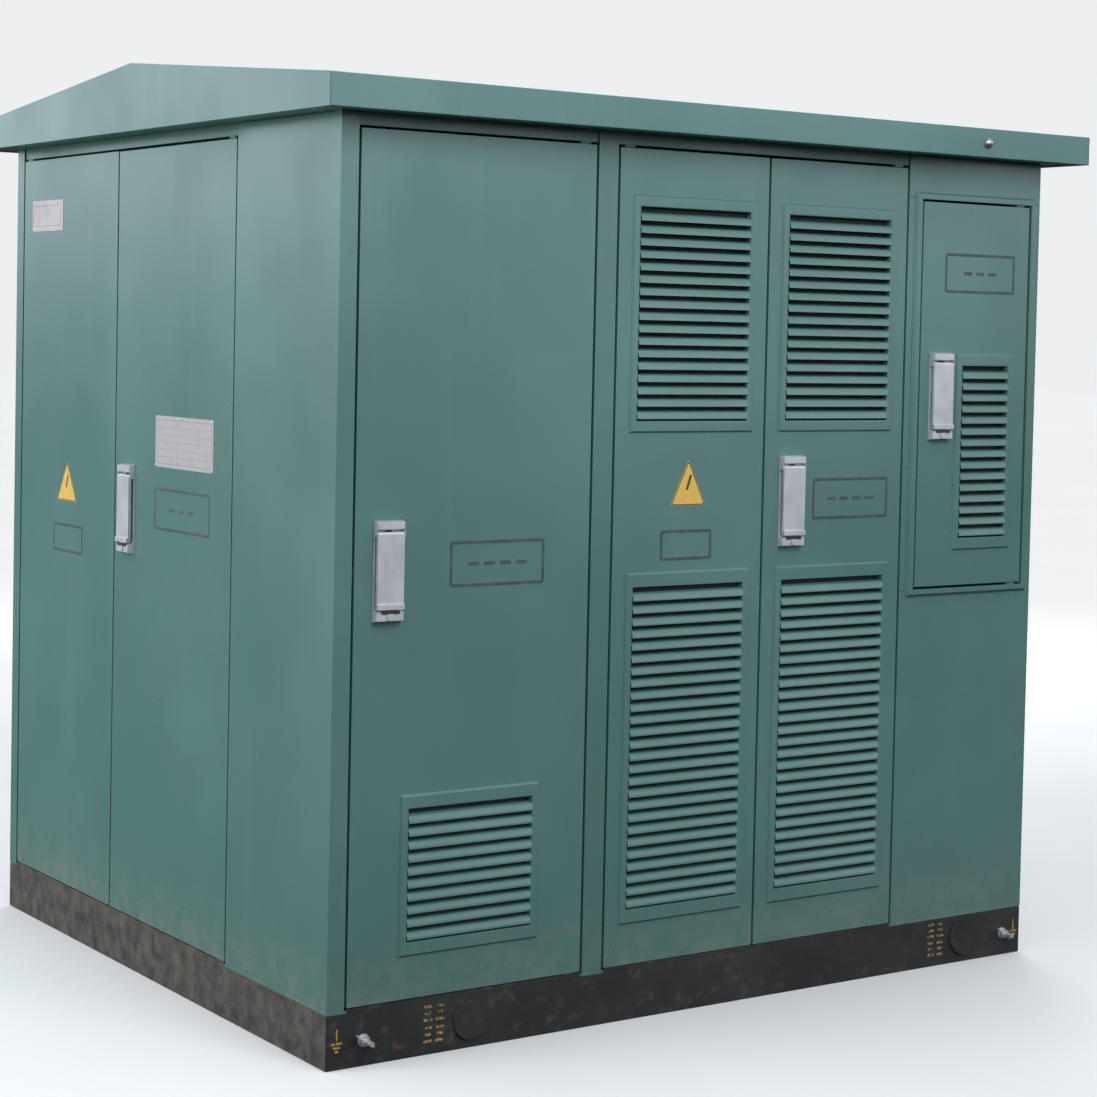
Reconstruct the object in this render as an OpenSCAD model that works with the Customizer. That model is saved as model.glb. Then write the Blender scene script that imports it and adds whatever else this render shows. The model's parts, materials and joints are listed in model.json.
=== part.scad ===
// Prefabricated transformer substation: a sheet steel kiosk on a channel base that houses an oil filled
// transformer, its high and low voltage switchboards, an automation cabinet and an energy meter box.
// Millimetres. X runs along the front, Y from the front to the rear, Z up from the ground.
// The finished part has its origin under the middle of the enclosure.

/* [Enclosure] */
// Length of the enclosure along its front
body_l = 2180; // [2100:10:2600]
// Depth of the enclosure from front to rear
body_w = 1856; // [1800:2:2200]
// Height of the roof fascia's bottom edge above the ground
eave_z = 2161; // [2150:1:2400]
// Thickness of the folded sheet steel
sheet = 2; // [1.5:0.5:3]
// Width of the face that each corner shows
corner_w = 46; // [46:1:60]
// Outside size of a frame tube
tube = 42; // [38:1:42]
// Wall of a frame tube
tube_wall = 3; // [2:0.5:4]
// Width of the post between the automation room and the transformer room
mullion_w = 58; // [50:1:70]

/* [Base] */
// Height of the base channels
base_h = 126; // [120:1:160]
// Flange width of the base channels
flange_w = 53; // [48:1:65]
// Web thickness of the base channels
web_t = 5.5; // [5:0.5:8]
// Flange thickness of the base channels
flange_t = 9; // [8:0.5:12]
// Thickness of the floor plates
floor_t = 4; // [3:0.5:6]
// Radius of the foundation bolt holes
anchor_r = 9; // [7:0.5:12]
// Distance between foundation bolts along the front
anchor_x = 1900; // [1700:10:1940]
// Radius of a cable entry
entry_r = 42; // [30:1:44]

/* [Roof] */
// Height of the roof fascia
fascia_h = 75; // [60:1:100]
// Rise of the roof from the fascia's top to the ridge
roof_rise = 95; // [60:1:150]
// Roof overhang at the two ends
over_x = 85; // [60:1:120]
// Roof overhang at the front and the rear
over_y = 95; // [70:1:130]
// Width of the fascia's folded bottom lip
lip = 30; // [20:1:40]

/* [Doors] */
// Thickness of a door leaf
door_t = 30; // [28:1:36]
// Gap round every door leaf
gap = 6; // [6:0.5:8]
// Height of the sill strip under the doors
sill_h = 6; // [4:1:12]
// Clear height between a door's top and the roof fascia
head_h = 34; // [30:1:60]
// Width of the automation room door
auto_w = 646; // [600:1:700]
// Width of each transformer room door
tx_w = 461; // [440:1:500]
// Width of the fixed panel at the front end of each side
side_fixed_w = 500; // [480:1:540]
// Width of the side door that carries the handle
side_active_w = 665; // [600:1:700]
// Width and height of the raised frame round the meter door
meter_frame = [438, 1068]; // [400:1:1100]
// Height of the meter frame's bottom edge
meter_frame_z = 1000; // [950:1:1020]
// Radius of the door pivot pins
pivot_r = 6; // [5:0.5:8]
// Distance of a pivot from the door's hinge edge
pivot_in = 30; // [28:1:34]

/* [Louvres] */
// Distance from one louvre blade to the next
blade_pitch = 30; // [26:1:36]
// How far a louvre blade stands out
blade_out = 9; // [6:1:12]
// Width of the louvre panel on each large door
louvre_w = 384; // [340:1:400]
// Height of the border's raised face
border_out = 6; // [4:1:8]

/* [Handles] */
// Width of a handle
handle_w = 76; // [70:1:90]
// Height of a handle
handle_h = 230; // [220:1:250]
// How far a closed handle stands out
handle_out = 18; // [16:1:20]
// Distance from a door's free edge to the middle of its handle
handle_in = 86; // [80:1:100]

/* [Lifting and earthing] */
// Radius of a retractable lifting pin
lift_r = 38; // [30:1:40]
// Distance of the lifting pins from the point midway between them
lift_x = 790; // [700:10:800]
// Shift of that point towards the right, to sit under the transformer
lift_shift = 85; // [0:5:90]
// Height of the lifting pins
lift_z = 68; // [64:1:72]
// Radius of an earthing stud
stud_r = 6; // [5:0.5:8]
// Length of an earthing stud outside the base
stud_l = 42; // [36:1:50]

/* [Transformer] */
// Width, depth and height of the oil tank's body
tank = [480, 1000, 760]; // [400:10:1050]
// Depth of the tank's cooling fins
fin_d = 105; // [60:5:110]
// Distance from one cooling fin to the next
fin_pitch = 50; // [40:1:60]
// Thickness of a cooling fin
fin_t = 8; // [6:1:10]
// Height of the channels that the tank stands on
skid_h = 90; // [60:5:120]

/* [Hidden] */

// colours
paint = "#577f7b";
paint_dark = "#476863";
base_black = "#2b2d2e";
steel = "#b9bdbf";
zinc = "#a3a8ab";
copper = "#b8704a";
porcelain = "#6d3f2c";
grey_box = "#c9ccca";
dark_plastic = "#3a3d40";

// heights
sill_top = base_h + sill_h;
door_z0 = sill_top + gap;
door_z1 = eave_z - head_h;
door_h = door_z1 - door_z0;
head_z = door_z1 + gap;
frame_top = eave_z + sheet;
weld = 1;
round_fn = 48;
fine_fn = 24;

// front face, measured from the front left corner
auto_x = corner_w + gap;
mullion_x = auto_x + auto_w + gap;
tx_left_x = mullion_x + mullion_w + gap;
tx_right_x = tx_left_x + tx_w + gap;
meter_x = tx_right_x + tx_w + gap;
meter_w = body_l - meter_x;

// meter door, centred in the meter panel
meter_border = 20;
meter_proud = 10;
meter_door_proud = 8;
meter_mid = meter_x + meter_w / 2;
meter_open = [meter_frame[0] - 2 * meter_border, meter_frame[1] - 2 * meter_border];
meter_open_x = meter_mid - meter_open[0] / 2;
meter_open_z = meter_frame_z + meter_border;
meter_door_x = meter_open_x + gap;
meter_door_z = meter_open_z + gap;
meter_door_w = meter_open[0] - 2 * gap;
meter_door_h = meter_open[1] - 2 * gap;

// left face, measured from the rear left corner; the right face mirrors it from the front right corner
side_b_w = body_w - side_fixed_w - side_active_w - corner_w - 3 * gap;
side_b_x = corner_w + gap;
side_a_x = side_b_x + side_b_w + gap;
hv_a_x = side_fixed_w + gap;
hv_b_x = hv_a_x + side_active_w + gap;

// partitions
wall_left = mullion_x + mullion_w / 2;
wall_right = meter_x + sheet + weld;
wall_front = side_fixed_w - 2 * sheet;
wall_in = 60;

// louvre panels: height and bottom edge
louvre_low = [862, 238];
louvre_high = [577, 1439];
louvre_auto_zh = [376, 238];
louvre_meter_wh = [210, 525];
louvre_meter_z = 1120;
louvre_meter_x = meter_mid + 39 - louvre_meter_wh[0] / 2;
border_w = 22;
blade_h = 21;
blade_t = 1.6;
blade_in = 13;
blade_top = 32;
cheek = 2;

// handles: height of each top edge
top_auto = 1245;
top_tx = 1379;
top_meter = 1646;
top_side = 1313;
meter_handle_in = 70;
handle_cap = 22;
handle_foot = 26;
lever_axis_down = 30;
lever_axis_out = 10;
lever_pin_r = 3;
running = 0.05;

// lifting pins
lift_head_r = 46;
lift_len = 190;
lift_tube_wall = 8;

// earthing
stud_z = 60;
stud_in = 97;

// transformer
tank_mid = [(wall_left + wall_right) / 2, body_w / 2 + 60];
tank_z = base_h + skid_h;
tank_wall = 6;
cover_z = tank_z + tank[2];
cover_t = 12;
cover_top = cover_z + cover_t;
hv_bush_x = tank_mid[0] + 150;
lv_bush_x = tank_mid[0] - 150;
hv_pitch = 220;
lv_pitch = 170;
hv_bush_h = 200;
lv_bush_h = 120;
hv_line_z = cover_top + hv_bush_h + 37;
lv_line_z = cover_top + lv_bush_h + 11;
limb_pitch = 300;

// switchboards
lv_board = [330, 1240, 1800];
lv_board_x = wall_left - sheet - 8 - lv_board[0];
lv_board_y = side_fixed_w + 50;
hv_board = [300, 1230, 1560];
hv_board_x = wall_right + sheet + 8;
hv_board_y = side_fixed_w + 50;
floor_top = base_h + floor_t;

// ---------------------------------------------------------------- helpers

// box between two opposite corners
module box(a, b) {
    translate(a) cube(b - a);
}

// rectangular tube between two corners, open at both ends along Z
module post(a, b) {
    difference() {
        box(a, b);
        box([a[0] + tube_wall, a[1] + tube_wall, a[2] - 1], [b[0] - tube_wall, b[1] - tube_wall, b[2] + 1]);
    }
}

// the four faces: local x runs from left to right as seen from outside, local y runs inwards
module on_front() {
    translate([-body_l / 2, -body_w / 2, 0]) children();
}
module on_left() {
    translate([-body_l / 2, body_w / 2, 0]) rotate([0, 0, -90]) children();
}
module on_right() {
    translate([body_l / 2, -body_w / 2, 0]) rotate([0, 0, 90]) children();
}
module on_rear() {
    translate([body_l / 2, body_w / 2, 0]) rotate([0, 0, 180]) children();
}

// block with its back on y = 0 and its four front edges bevelled
module bevel_block(w, h, t, b) {
    intersection() {
        linear_extrude(h) polygon([[0, 0], [w, 0], [w - b, -t], [b, -t]]);
        translate([0, 0, 0]) rotate([90, 0, 90])
            linear_extrude(w) polygon([[0, 0], [0, h], [-t, h - b], [-t, b]]);
    }
}

// cylinder along local y, from y0 inwards to y1
module rod_y(x, z, r, y0, y1, fn = round_fn) {
    translate([x, y1, z]) rotate([90, 0, 0]) cylinder(r = r, h = y1 - y0, $fn = fn);
}

// cylinder along local x
module rod_x(x0, x1, y, z, r, fn = round_fn) {
    translate([x0, y, z]) rotate([0, 90, 0]) cylinder(r = r, h = x1 - x0, $fn = fn);
}

// hexagon bolt head on an outer face, with its washer
module bolt_head(x, z) {
    rod_y(x, z, 11, -2, 0, fine_fn);
    translate([x, -2, z]) rotate([90, 0, 0]) cylinder(r = 8, h = 6, $fn = 6);
}

// ---------------------------------------------------------------- base

// channel section standing on z = 0 with its web on y = 0 and its flanges inwards
module channel_section() {
    polygon([
        [0, 0], [flange_w, 0], [flange_w, flange_t], [web_t, flange_t],
        [web_t, base_h - flange_t], [flange_w, base_h - flange_t], [flange_w, base_h], [0, base_h]
    ]);
}

// channel of a given length along local x
module channel(length) {
    rotate([90, 0, 90]) linear_extrude(length) channel_section();
}

// the same with mitred ends, short of its corners by a given distance
module mitred_channel(length, short = 0) {
    intersection() {
        channel(length);
        linear_extrude(base_h) polygon([
            [short, 0], [length - short, 0],
            [length - short - flange_w, flange_w], [short + flange_w, flange_w]
        ]);
    }
}

module lift_tube(x) {
    difference() {
        rod_y(x, lift_z, lift_r + lift_tube_wall, web_t, web_t + lift_len);
        rod_y(x, lift_z, lift_r + running, web_t - 1, web_t + lift_len + 1);
    }
}

// side is 1 for the front channel and -1 for the rear one, which is turned round
module long_channel(side) {
    lift_mid = body_l / 2 + side * lift_shift;
    difference() {
        mitred_channel(body_l);
        for (s = [-1, 1]) {
            rod_y(lift_mid + s * lift_x, lift_z, lift_r + running, -1, web_t + 1);
            translate([body_l / 2 + s * anchor_x / 2, flange_w / 2, -1])
                cylinder(r = anchor_r, h = flange_t + 2, $fn = round_fn);
        }
    }
    for (s = [-1, 1]) lift_tube(lift_mid + s * lift_x);
}

module cross_member(x) {
    y0 = flange_w + weld;
    translate([x, y0, 0]) mirror([1, 0, 0]) rotate([0, 0, 90])
        channel(body_w - 2 * y0);
}

module base_frame() {
    color(base_black) {
        on_front() long_channel(1);
        on_rear() long_channel(-1);
        for (side = [0, 1]) mirror([side, 0, 0]) on_left() mitred_channel(body_w, weld);
        on_front() for (x = [wall_left, tank_mid[0] - 160, tank_mid[0] + 130, wall_right])
            cross_member(x - flange_w / 2);
    }
}

// floor plate with round cable entries
module floor_plate(a, b, holes = []) {
    difference() {
        box([a[0], a[1], base_h], [b[0], b[1], base_h + floor_t]);
        for (p = holes)
            translate([p[0], p[1], base_h - 1]) cylinder(r = entry_r, h = floor_t + 2, $fn = round_fn);
    }
}

lv_entries = [for (i = [0:3]) [190, side_fixed_w + 230 + 270 * i]];
hv_entries = [for (i = [0:2]) [body_l - 100, side_fixed_w + 230 + 300 * i]];
floor_in = tube + 6;

module floor_plates() {
    color(zinc) on_front() {
        floor_plate([floor_in, floor_in], [wall_left - 4, wall_front - 4]);
        floor_plate([floor_in, wall_front + 4], [wall_left - 4, body_w - floor_in], lv_entries);
        for (i = [0:3]) {
            y0 = floor_in + i * (body_w - 2 * floor_in) / 4;
            floor_plate([wall_left + 4, y0], [wall_right - 4, y0 + (body_w - 2 * floor_in) / 4 - 3]);
        }
        floor_plate([wall_right + 4, floor_in], [body_l - floor_in, wall_front - 4]);
        floor_plate([wall_right + 4, wall_front + 4], [body_l - floor_in, body_w - floor_in], hv_entries);
    }
}

// ---------------------------------------------------------------- frame

rear_posts = [wall_left, wall_right];
// the front right post is narrower, which leaves room for the meter door's frame
slim_post_x = body_l - sheet - tube + 12;

module frame_posts() {
    color(paint_dark) {
        on_rear() for (x = [sheet, body_l - sheet - tube])
            post([x, sheet, base_h], [x + tube, tube + sheet, frame_top]);
        on_front() {
            post([sheet, sheet, base_h], [tube + sheet, tube + sheet, frame_top]);
            post([slim_post_x, sheet, base_h], [body_l - sheet, tube + sheet, frame_top]);
            post([mullion_x, 0, base_h], [mullion_x + mullion_w, tube, frame_top]);
            post([meter_x + sheet, 2 * sheet, base_h], [meter_open_x - 6, tube, frame_top]);
        }
        for (side = [0, 1])
            mirror([side, 0, 0]) on_left()
                post([body_w - side_fixed_w + sheet, 2 * sheet, base_h],
                     [body_w - side_fixed_w + tube, tube, frame_top]);
        on_rear() for (x = rear_posts)
            post([body_l - x - tube / 2, 2 * sheet, base_h], [body_l - x + tube / 2, tube, frame_top]);
    }
}

// sill and head rail between two posts; y0 is 0 where the sill shows under a door
module rail_pair(x0, x1, y0) {
    box([x0 + weld, y0, base_h], [x1 - weld, tube, sill_top]);
    box([x0 + weld, 2 * sheet, head_z], [x1 - weld, tube, frame_top]);
}

module frame_rails() {
    color(paint_dark) {
        on_front() {
            rail_pair(corner_w, mullion_x, 0);
            rail_pair(mullion_x + mullion_w, meter_x, 0);
            rail_pair(meter_open_x - 6, slim_post_x, 2 * sheet);
        }
        for (side = [0, 1])
            mirror([side, 0, 0]) on_left() {
                rail_pair(corner_w, body_w - side_fixed_w, 0);
                rail_pair(body_w - side_fixed_w + tube, body_w - corner_w, 2 * sheet);
            }
        on_rear() {
            rail_pair(corner_w, body_l - wall_right - tube / 2, 2 * sheet);
            rail_pair(body_l - wall_right + tube / 2, body_l - wall_left - tube / 2, 2 * sheet);
            rail_pair(body_l - wall_left + tube / 2, body_l - corner_w, 2 * sheet);
        }
    }
}

// ---------------------------------------------------------------- fixed panels

panel_z0 = base_h + weld;

// rear panel between x0 and x1, with stiffening flanges and openings for louvres
module rear_panel(x0, x1, holes = []) {
    difference() {
        union() {
            box([x0, 0, panel_z0], [x1, sheet, eave_z]);
            for (z = [panel_z0 + 300, panel_z0 + 1500])
                box([x0 + 60, sheet, z], [x1 - 60, 14, z + 30]);
        }
        for (h = holes)
            box([h[0] + 8, -1, h[1] + 8], [h[0] + h[2] - 8, 15, h[1] + h[3] - 8]);
    }
}

rear_mid_x0 = body_l - wall_right + weld;
rear_mid_x1 = body_l - wall_left - weld;
rear_louvre_x = [for (s = [-1, 1]) (rear_mid_x0 + rear_mid_x1) / 2 + s * 235 - louvre_w / 2];
rear_louvres = [for (x = rear_louvre_x, lv = [louvre_low, louvre_high]) [x, lv[1], louvre_w, lv[0]]];

module fixed_panels() {
    color(paint) {
        // front left corner: one sheet folded round the corner
        on_left() {
            box([body_w - side_fixed_w, 0, panel_z0], [body_w, sheet, eave_z]);
            box([body_w - side_fixed_w, 0, panel_z0], [body_w - side_fixed_w + sheet, door_t, eave_z]);
            box([body_w - sheet, 0, panel_z0], [body_w, corner_w, eave_z]);
        }
        // front right corner: the meter panel laps over this one
        on_right() {
            box([sheet + weld, 0, panel_z0], [side_fixed_w, sheet, eave_z]);
            box([side_fixed_w - sheet, 0, panel_z0], [side_fixed_w, door_t, eave_z]);
        }
        // rear corners and rear panels
        on_rear() {
            rear_panel(0, rear_mid_x0 - 2 * weld);
            box([0, 0, panel_z0], [sheet, corner_w, eave_z]);
            rear_panel(rear_mid_x0, rear_mid_x1, rear_louvres);
            rear_panel(rear_mid_x1 + 2 * weld, body_l);
            box([body_l - sheet, 0, panel_z0], [body_l, corner_w, eave_z]);
        }
    }
}

module meter_panel() {
    color(paint) on_front() difference() {
        union() {
            box([meter_x, 0, panel_z0], [body_l, sheet, eave_z]);
            box([meter_x, 0, panel_z0], [meter_x + sheet, door_t, eave_z]);
        }
        box([meter_open_x - 4, -1, meter_open_z - 4],
            [meter_open_x + meter_open[0] + 4, door_t + 1, meter_open_z + meter_open[1] + 4]);
        // butt seams under the door frame: a sheet above, a sheet below and a jamb strip on each side
        for (z = [meter_open_z - 4 - weld, meter_open_z + meter_open[1] + 4])
            box([meter_x - 1, -1, z], [body_l + 1, door_t + 1, z + weld]);
    }
}

module meter_door_frame() {
    x0 = meter_mid - meter_frame[0] / 2;
    color(paint) on_front() difference() {
        union() {
            translate([x0, 0, meter_frame_z])
                bevel_block(meter_frame[0], meter_frame[1], meter_proud, 7);
            box([meter_open_x - 4, -1, meter_open_z - 4],
                [meter_open_x + meter_open[0] + 4, door_t + 4, meter_open_z + meter_open[1] + 4]);
        }
        box([meter_open_x, -meter_proud - 1, meter_open_z],
            [meter_open_x + meter_open[0], door_t + 5, meter_open_z + meter_open[1]]);
    }
}

// ---------------------------------------------------------------- partitions

part_z0 = floor_top + weld;
part_z1 = frame_top - 3;

module room_partitions() {
    color(grey_box) on_front() {
        // between the low voltage room and the transformer, with slots for the busbars
        difference() {
            box([wall_left, wall_in, part_z0], [wall_left + sheet, body_w - wall_in, part_z1]);
            for (i = [-1.5:1:1.5])
                translate([wall_left - 1, tank_mid[1] + i * lv_pitch - 50, lv_line_z - 35])
                    cube([sheet + 2, 100, 70]);
        }
        // between the transformer and the high voltage room, with holes for the cables
        difference() {
            box([wall_right, wall_in, part_z0], [wall_right + sheet, body_w - wall_in, part_z1]);
            for (i = [-1:1])
                rod_x(wall_right - 1, wall_right + sheet + 1, tank_mid[1] + i * hv_pitch, hv_line_z, 30);
        }
        // behind the automation room and behind the meter room
        box([tube + 6, wall_front, part_z0], [wall_left - weld, wall_front + sheet, part_z1]);
        box([wall_right + sheet + weld, wall_front, part_z0],
            [body_l - tube - 6, wall_front + sheet, part_z1]);
    }
}

// ---------------------------------------------------------------- roof

roof_y = body_w / 2 + over_y;
roof_x = body_l / 2 + over_x;
fascia_top = eave_z + fascia_h;
ridge_z = fascia_top + roof_rise;

// one slope with its fascia and its bottom lip, as a section across the roof
module slope_section() {
    polygon([
        [-roof_y, eave_z], [-roof_y, fascia_top], [-weld / 2, ridge_z], [-weld / 2, ridge_z - sheet],
        [-roof_y + sheet, fascia_top - sheet], [-roof_y + sheet, eave_z + sheet],
        [-roof_y + lip, eave_z + sheet], [-roof_y + lip, eave_z]
    ]);
}

module roof_sheets() {
    len = 2 * (roof_x - sheet) - weld;
    color(paint) for (side = [0, 1])
        mirror([0, side, 0]) translate([-len / 2, 0, 0]) rotate([90, 0, 90])
            linear_extrude(len) slope_section();
}

module roof_gables() {
    color(paint) for (side = [0, 1])
        mirror([side, 0, 0]) translate([-roof_x, 0, 0]) {
            rotate([90, 0, 90]) linear_extrude(sheet) polygon([
                [-roof_y, eave_z], [-roof_y, fascia_top], [0, ridge_z],
                [roof_y, fascia_top], [roof_y, eave_z]
            ]);
            box([0, -roof_y + lip + weld, eave_z], [lip, roof_y - lip - weld, eave_z + sheet]);
        }
}

module roof_rafters() {
    wall_y = body_w / 2 - 5;
    rise = roof_rise / roof_y;
    depth = 40;
    color(paint_dark) for (x = [-930, -310, 310, 930], side = [0, 1])
        mirror([0, side, 0]) translate([x, 0, 0]) rotate([90, 0, 90]) linear_extrude(30) polygon([
            [-wall_y, frame_top + sheet], [-wall_y, fascia_top + rise * over_y - 5],
            [-2, ridge_z - 7], [-2, ridge_z - 7 - depth], [-wall_y + 500, frame_top + sheet + 30],
            [-wall_y + 120, frame_top + sheet]
        ]);
}

// strips that close the overhang between the walls and the fascia's lip
module roof_soffit() {
    inner = tube;
    color(paint_dark) for (side = [0, 1]) {
        mirror([0, side, 0])
            box([-roof_x + sheet + weld, -roof_y + sheet + weld, frame_top],
                [roof_x - sheet - weld, -body_w / 2 + inner, frame_top + sheet]);
        mirror([side, 0, 0])
            box([-roof_x + sheet + weld, -body_w / 2 + inner + weld, frame_top],
                [-body_l / 2 + inner, body_w / 2 - inner - weld, frame_top + sheet]);
    }
}

// ---------------------------------------------------------------- fasteners and earthing

fascia_bolt_x = 795;
fascia_bolt_z = eave_z + 37;

module fascia_bolt() {
    intersection() {
        translate([fascia_bolt_x, -roof_y, fascia_bolt_z]) sphere(r = 14, $fn = round_fn);
        box([fascia_bolt_x - 20, -roof_y - 20, fascia_bolt_z - 20],
            [fascia_bolt_x + 20, -roof_y, fascia_bolt_z + 20]);
    }
}

module panel_bolts() {
    color(zinc) {
        fascia_bolt();
        rotate([0, 0, 180]) fascia_bolt();
        on_rear() for (z = [200, 700, 1200, 1700, 2100]) {
            for (x = [24, rear_mid_x0 - 26, rear_mid_x1 + 26, body_l - 24]) bolt_head(x, z);
            for (x = [rear_mid_x0 + 24, rear_mid_x1 - 24]) bolt_head(x, z);
        }
    }
}

// stud, washer and wing nut on the base's front face
module earth_terminal(x) {
    rod_y(x, stud_z, stud_r, -stud_l, -16, round_fn);
    rod_y(x, stud_z, stud_r - 0.3, -16, -0.01, round_fn);
    difference() {
        rod_y(x, stud_z, 15, -3, 0, round_fn);
        rod_y(x, stud_z, stud_r + weld / 4, -4, 1, round_fn);
    }
    difference() {
        union() {
            rod_y(x, stud_z, 11, -16, -4, round_fn);
            for (s = [-1, 1])
                translate([x, -10, stud_z]) rotate([0, 35 + 90 - 90 * s, 0])
                    box([8, -4, -2], [27, 3, 2]);
        }
        rod_y(x, stud_z, stud_r + weld / 4, -17, -3, round_fn);
    }
}

module earth_terminals() {
    color(steel) on_front() for (x = [stud_in, body_l - stud_in + 30]) earth_terminal(x);
}

// ---------------------------------------------------------------- lifting pins

// pin on the front face at local x, with a round end plate outside the web
module lifting_pin(x) {
    difference() {
        rod_y(x, lift_z, lift_r, -1, web_t + lift_len - 20);
        rod_y(x, lift_z, lift_r - 12, 20, web_t + lift_len);
    }
    rod_y(x, lift_z, lift_head_r, -9, -1);
}

module lifting_pin_fl() { color(base_black) on_front() lifting_pin(body_l / 2 + lift_shift - lift_x); }
module lifting_pin_fr() { color(base_black) on_front() lifting_pin(body_l / 2 + lift_shift + lift_x); }
module lifting_pin_rl() { color(base_black) on_rear() lifting_pin(body_l / 2 - lift_shift + lift_x); }
module lifting_pin_rr() { color(base_black) on_rear() lifting_pin(body_l / 2 - lift_shift - lift_x); }

// ---------------------------------------------------------------- doors

plate_t = gap - 1;
block_h = 30;

// x of a pivot: side is -1 for hinges on the left edge and 1 on the right edge
function pivot_x(x0, w, side) = side < 0 ? x0 + pivot_in : x0 + w - pivot_in;

// folded tray with pivot blocks and ribs; cuts are [x, z, w, h] louvre panels, latch is [x of the free
// edge, height of the bolt] and lock is [x, z] of the hole behind the handle
module door_leaf(x0, w, z0, h, side, ribs, cuts = [], latch = [], lock = []) {
    px = pivot_x(x0, w, side);
    difference() {
        union() {
            difference() {
                box([x0, 0, z0], [x0 + w, door_t, z0 + h]);
                box([x0 + sheet, sheet, z0 + sheet], [x0 + w - sheet, door_t + 1, z0 + h - sheet]);
            }
            for (z = ribs)
                difference() {
                    box([x0 + 1, 1, z], [x0 + w - 1, 16, z + 40]);
                    box([x0, 1, z + 2], [x0 + w, 14, z + 38]);
                }
            for (z = [z0, z0 + h - block_h])
                box([px - 14, 1, z], [px + 14, door_t - 2, z + block_h]);
        }
        for (z = [z0 - 1, z0 + h - block_h - 1])
            translate([px, door_t / 2, z]) cylinder(r = pivot_r + running, h = block_h + 2, $fn = round_fn);
        for (c = cuts)
            box([c[0] + 8, -1, c[1] + 8], [c[0] + c[2] - 8, door_t + 1, c[1] + c[3] - 8]);
        if (len(latch) > 0)
            box([latch[0] - 3, 7, latch[1] - 13], [latch[0] + 3, 21, latch[1] + 13]);
        if (len(lock) > 0)
            box([lock[0] - 9, -1, lock[1] - 24], [lock[0] + 9, sheet + 1, lock[1] + 8]);
    }
}

// pins and their plates, above and below one door
module door_pins(x0, w, z0, h, side) {
    px = pivot_x(x0, w, side);
    for (up = [0, 1])
        translate([px, door_t / 2, up ? z0 + h + gap : z0 - gap]) mirror([0, 0, up]) {
            box([-15, -11, 0], [15, 12, plate_t]);
            cylinder(r = pivot_r, h = gap + block_h - 5, $fn = round_fn);
        }
}

function mid_latch(top) = top - 115;
function lever_z(top) = top - lever_axis_down;

auto_handle_x = auto_x + handle_in;
tx_handle_x = tx_right_x + handle_in;
meter_handle_x = meter_door_x + meter_handle_in;
side_handle_x = side_a_x + handle_in;
hv_handle_x = hv_a_x + side_active_w - handle_in;
auto_louvre = [auto_x + (auto_w - louvre_w) / 2, louvre_auto_zh[1], louvre_w, louvre_auto_zh[0]];
tx_left_louvre_x = tx_left_x + (tx_w - louvre_w) / 2;
tx_right_louvre_x = tx_right_x + (tx_w - louvre_w) / 2;
meter_louvre = [louvre_meter_x, louvre_meter_z, louvre_meter_wh[0], louvre_meter_wh[1]];
full_ribs = [door_z0 + 700, door_z0 + 1350];
tx_ribs = [door_z0 + 20, 1110, 1400, door_z1 - 80];

function tx_louvres(x) = [for (lv = [louvre_low, louvre_high]) [x, lv[1], louvre_w, lv[0]]];

module door_auto() {
    color(paint) on_front()
        door_leaf(auto_x, auto_w, door_z0, door_h, 1, [660, 1500], [auto_louvre],
                  [auto_x, mid_latch(top_auto)], [auto_handle_x, lever_z(top_auto)]);
}
module door_tx_left() {
    color(paint) on_front()
        door_leaf(tx_left_x, tx_w, door_z0, door_h, -1, tx_ribs, tx_louvres(tx_left_louvre_x));
}
module door_tx_right() {
    color(paint) on_front()
        door_leaf(tx_right_x, tx_w, door_z0, door_h, 1, tx_ribs, tx_louvres(tx_right_louvre_x),
                  [tx_right_x, mid_latch(top_tx)], [tx_handle_x, lever_z(top_tx)]);
}
module door_meter() {
    color(paint) on_front() translate([0, -meter_door_proud, 0])
        door_leaf(meter_door_x, meter_door_w, meter_door_z, meter_door_h, 1, [1060, 1840], [meter_louvre],
                  [meter_door_x, mid_latch(top_meter)], [meter_handle_x, lever_z(top_meter)]);
}
module door_side_a() {
    color(paint) on_left()
        door_leaf(side_a_x, side_active_w, door_z0, door_h, 1, full_ribs, [],
                  [side_a_x, mid_latch(top_side)], [side_handle_x, lever_z(top_side)]);
}
module door_side_b() {
    color(paint) on_left() door_leaf(side_b_x, side_b_w, door_z0, door_h, -1, full_ribs);
}
module door_hv_a() {
    color(paint) on_right()
        door_leaf(hv_a_x, side_active_w, door_z0, door_h, -1, full_ribs, [],
                  [hv_a_x + side_active_w, mid_latch(top_side)], [hv_handle_x, lever_z(top_side)]);
}
module door_hv_b() {
    color(paint) on_right() door_leaf(hv_b_x, side_b_w, door_z0, door_h, 1, full_ribs);
}

module hinge_pins() {
    color(zinc) {
        on_front() {
            door_pins(auto_x, auto_w, door_z0, door_h, 1);
            door_pins(tx_left_x, tx_w, door_z0, door_h, -1);
            door_pins(tx_right_x, tx_w, door_z0, door_h, 1);
            translate([0, -meter_door_proud, 0])
                door_pins(meter_door_x, meter_door_w, meter_door_z, meter_door_h, 1);
        }
        on_left() {
            door_pins(side_a_x, side_active_w, door_z0, door_h, 1);
            door_pins(side_b_x, side_b_w, door_z0, door_h, -1);
        }
        on_right() {
            door_pins(hv_a_x, side_active_w, door_z0, door_h, -1);
            door_pins(hv_b_x, side_b_w, door_z0, door_h, 1);
        }
    }
}

// ---------------------------------------------------------------- louvres

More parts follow.
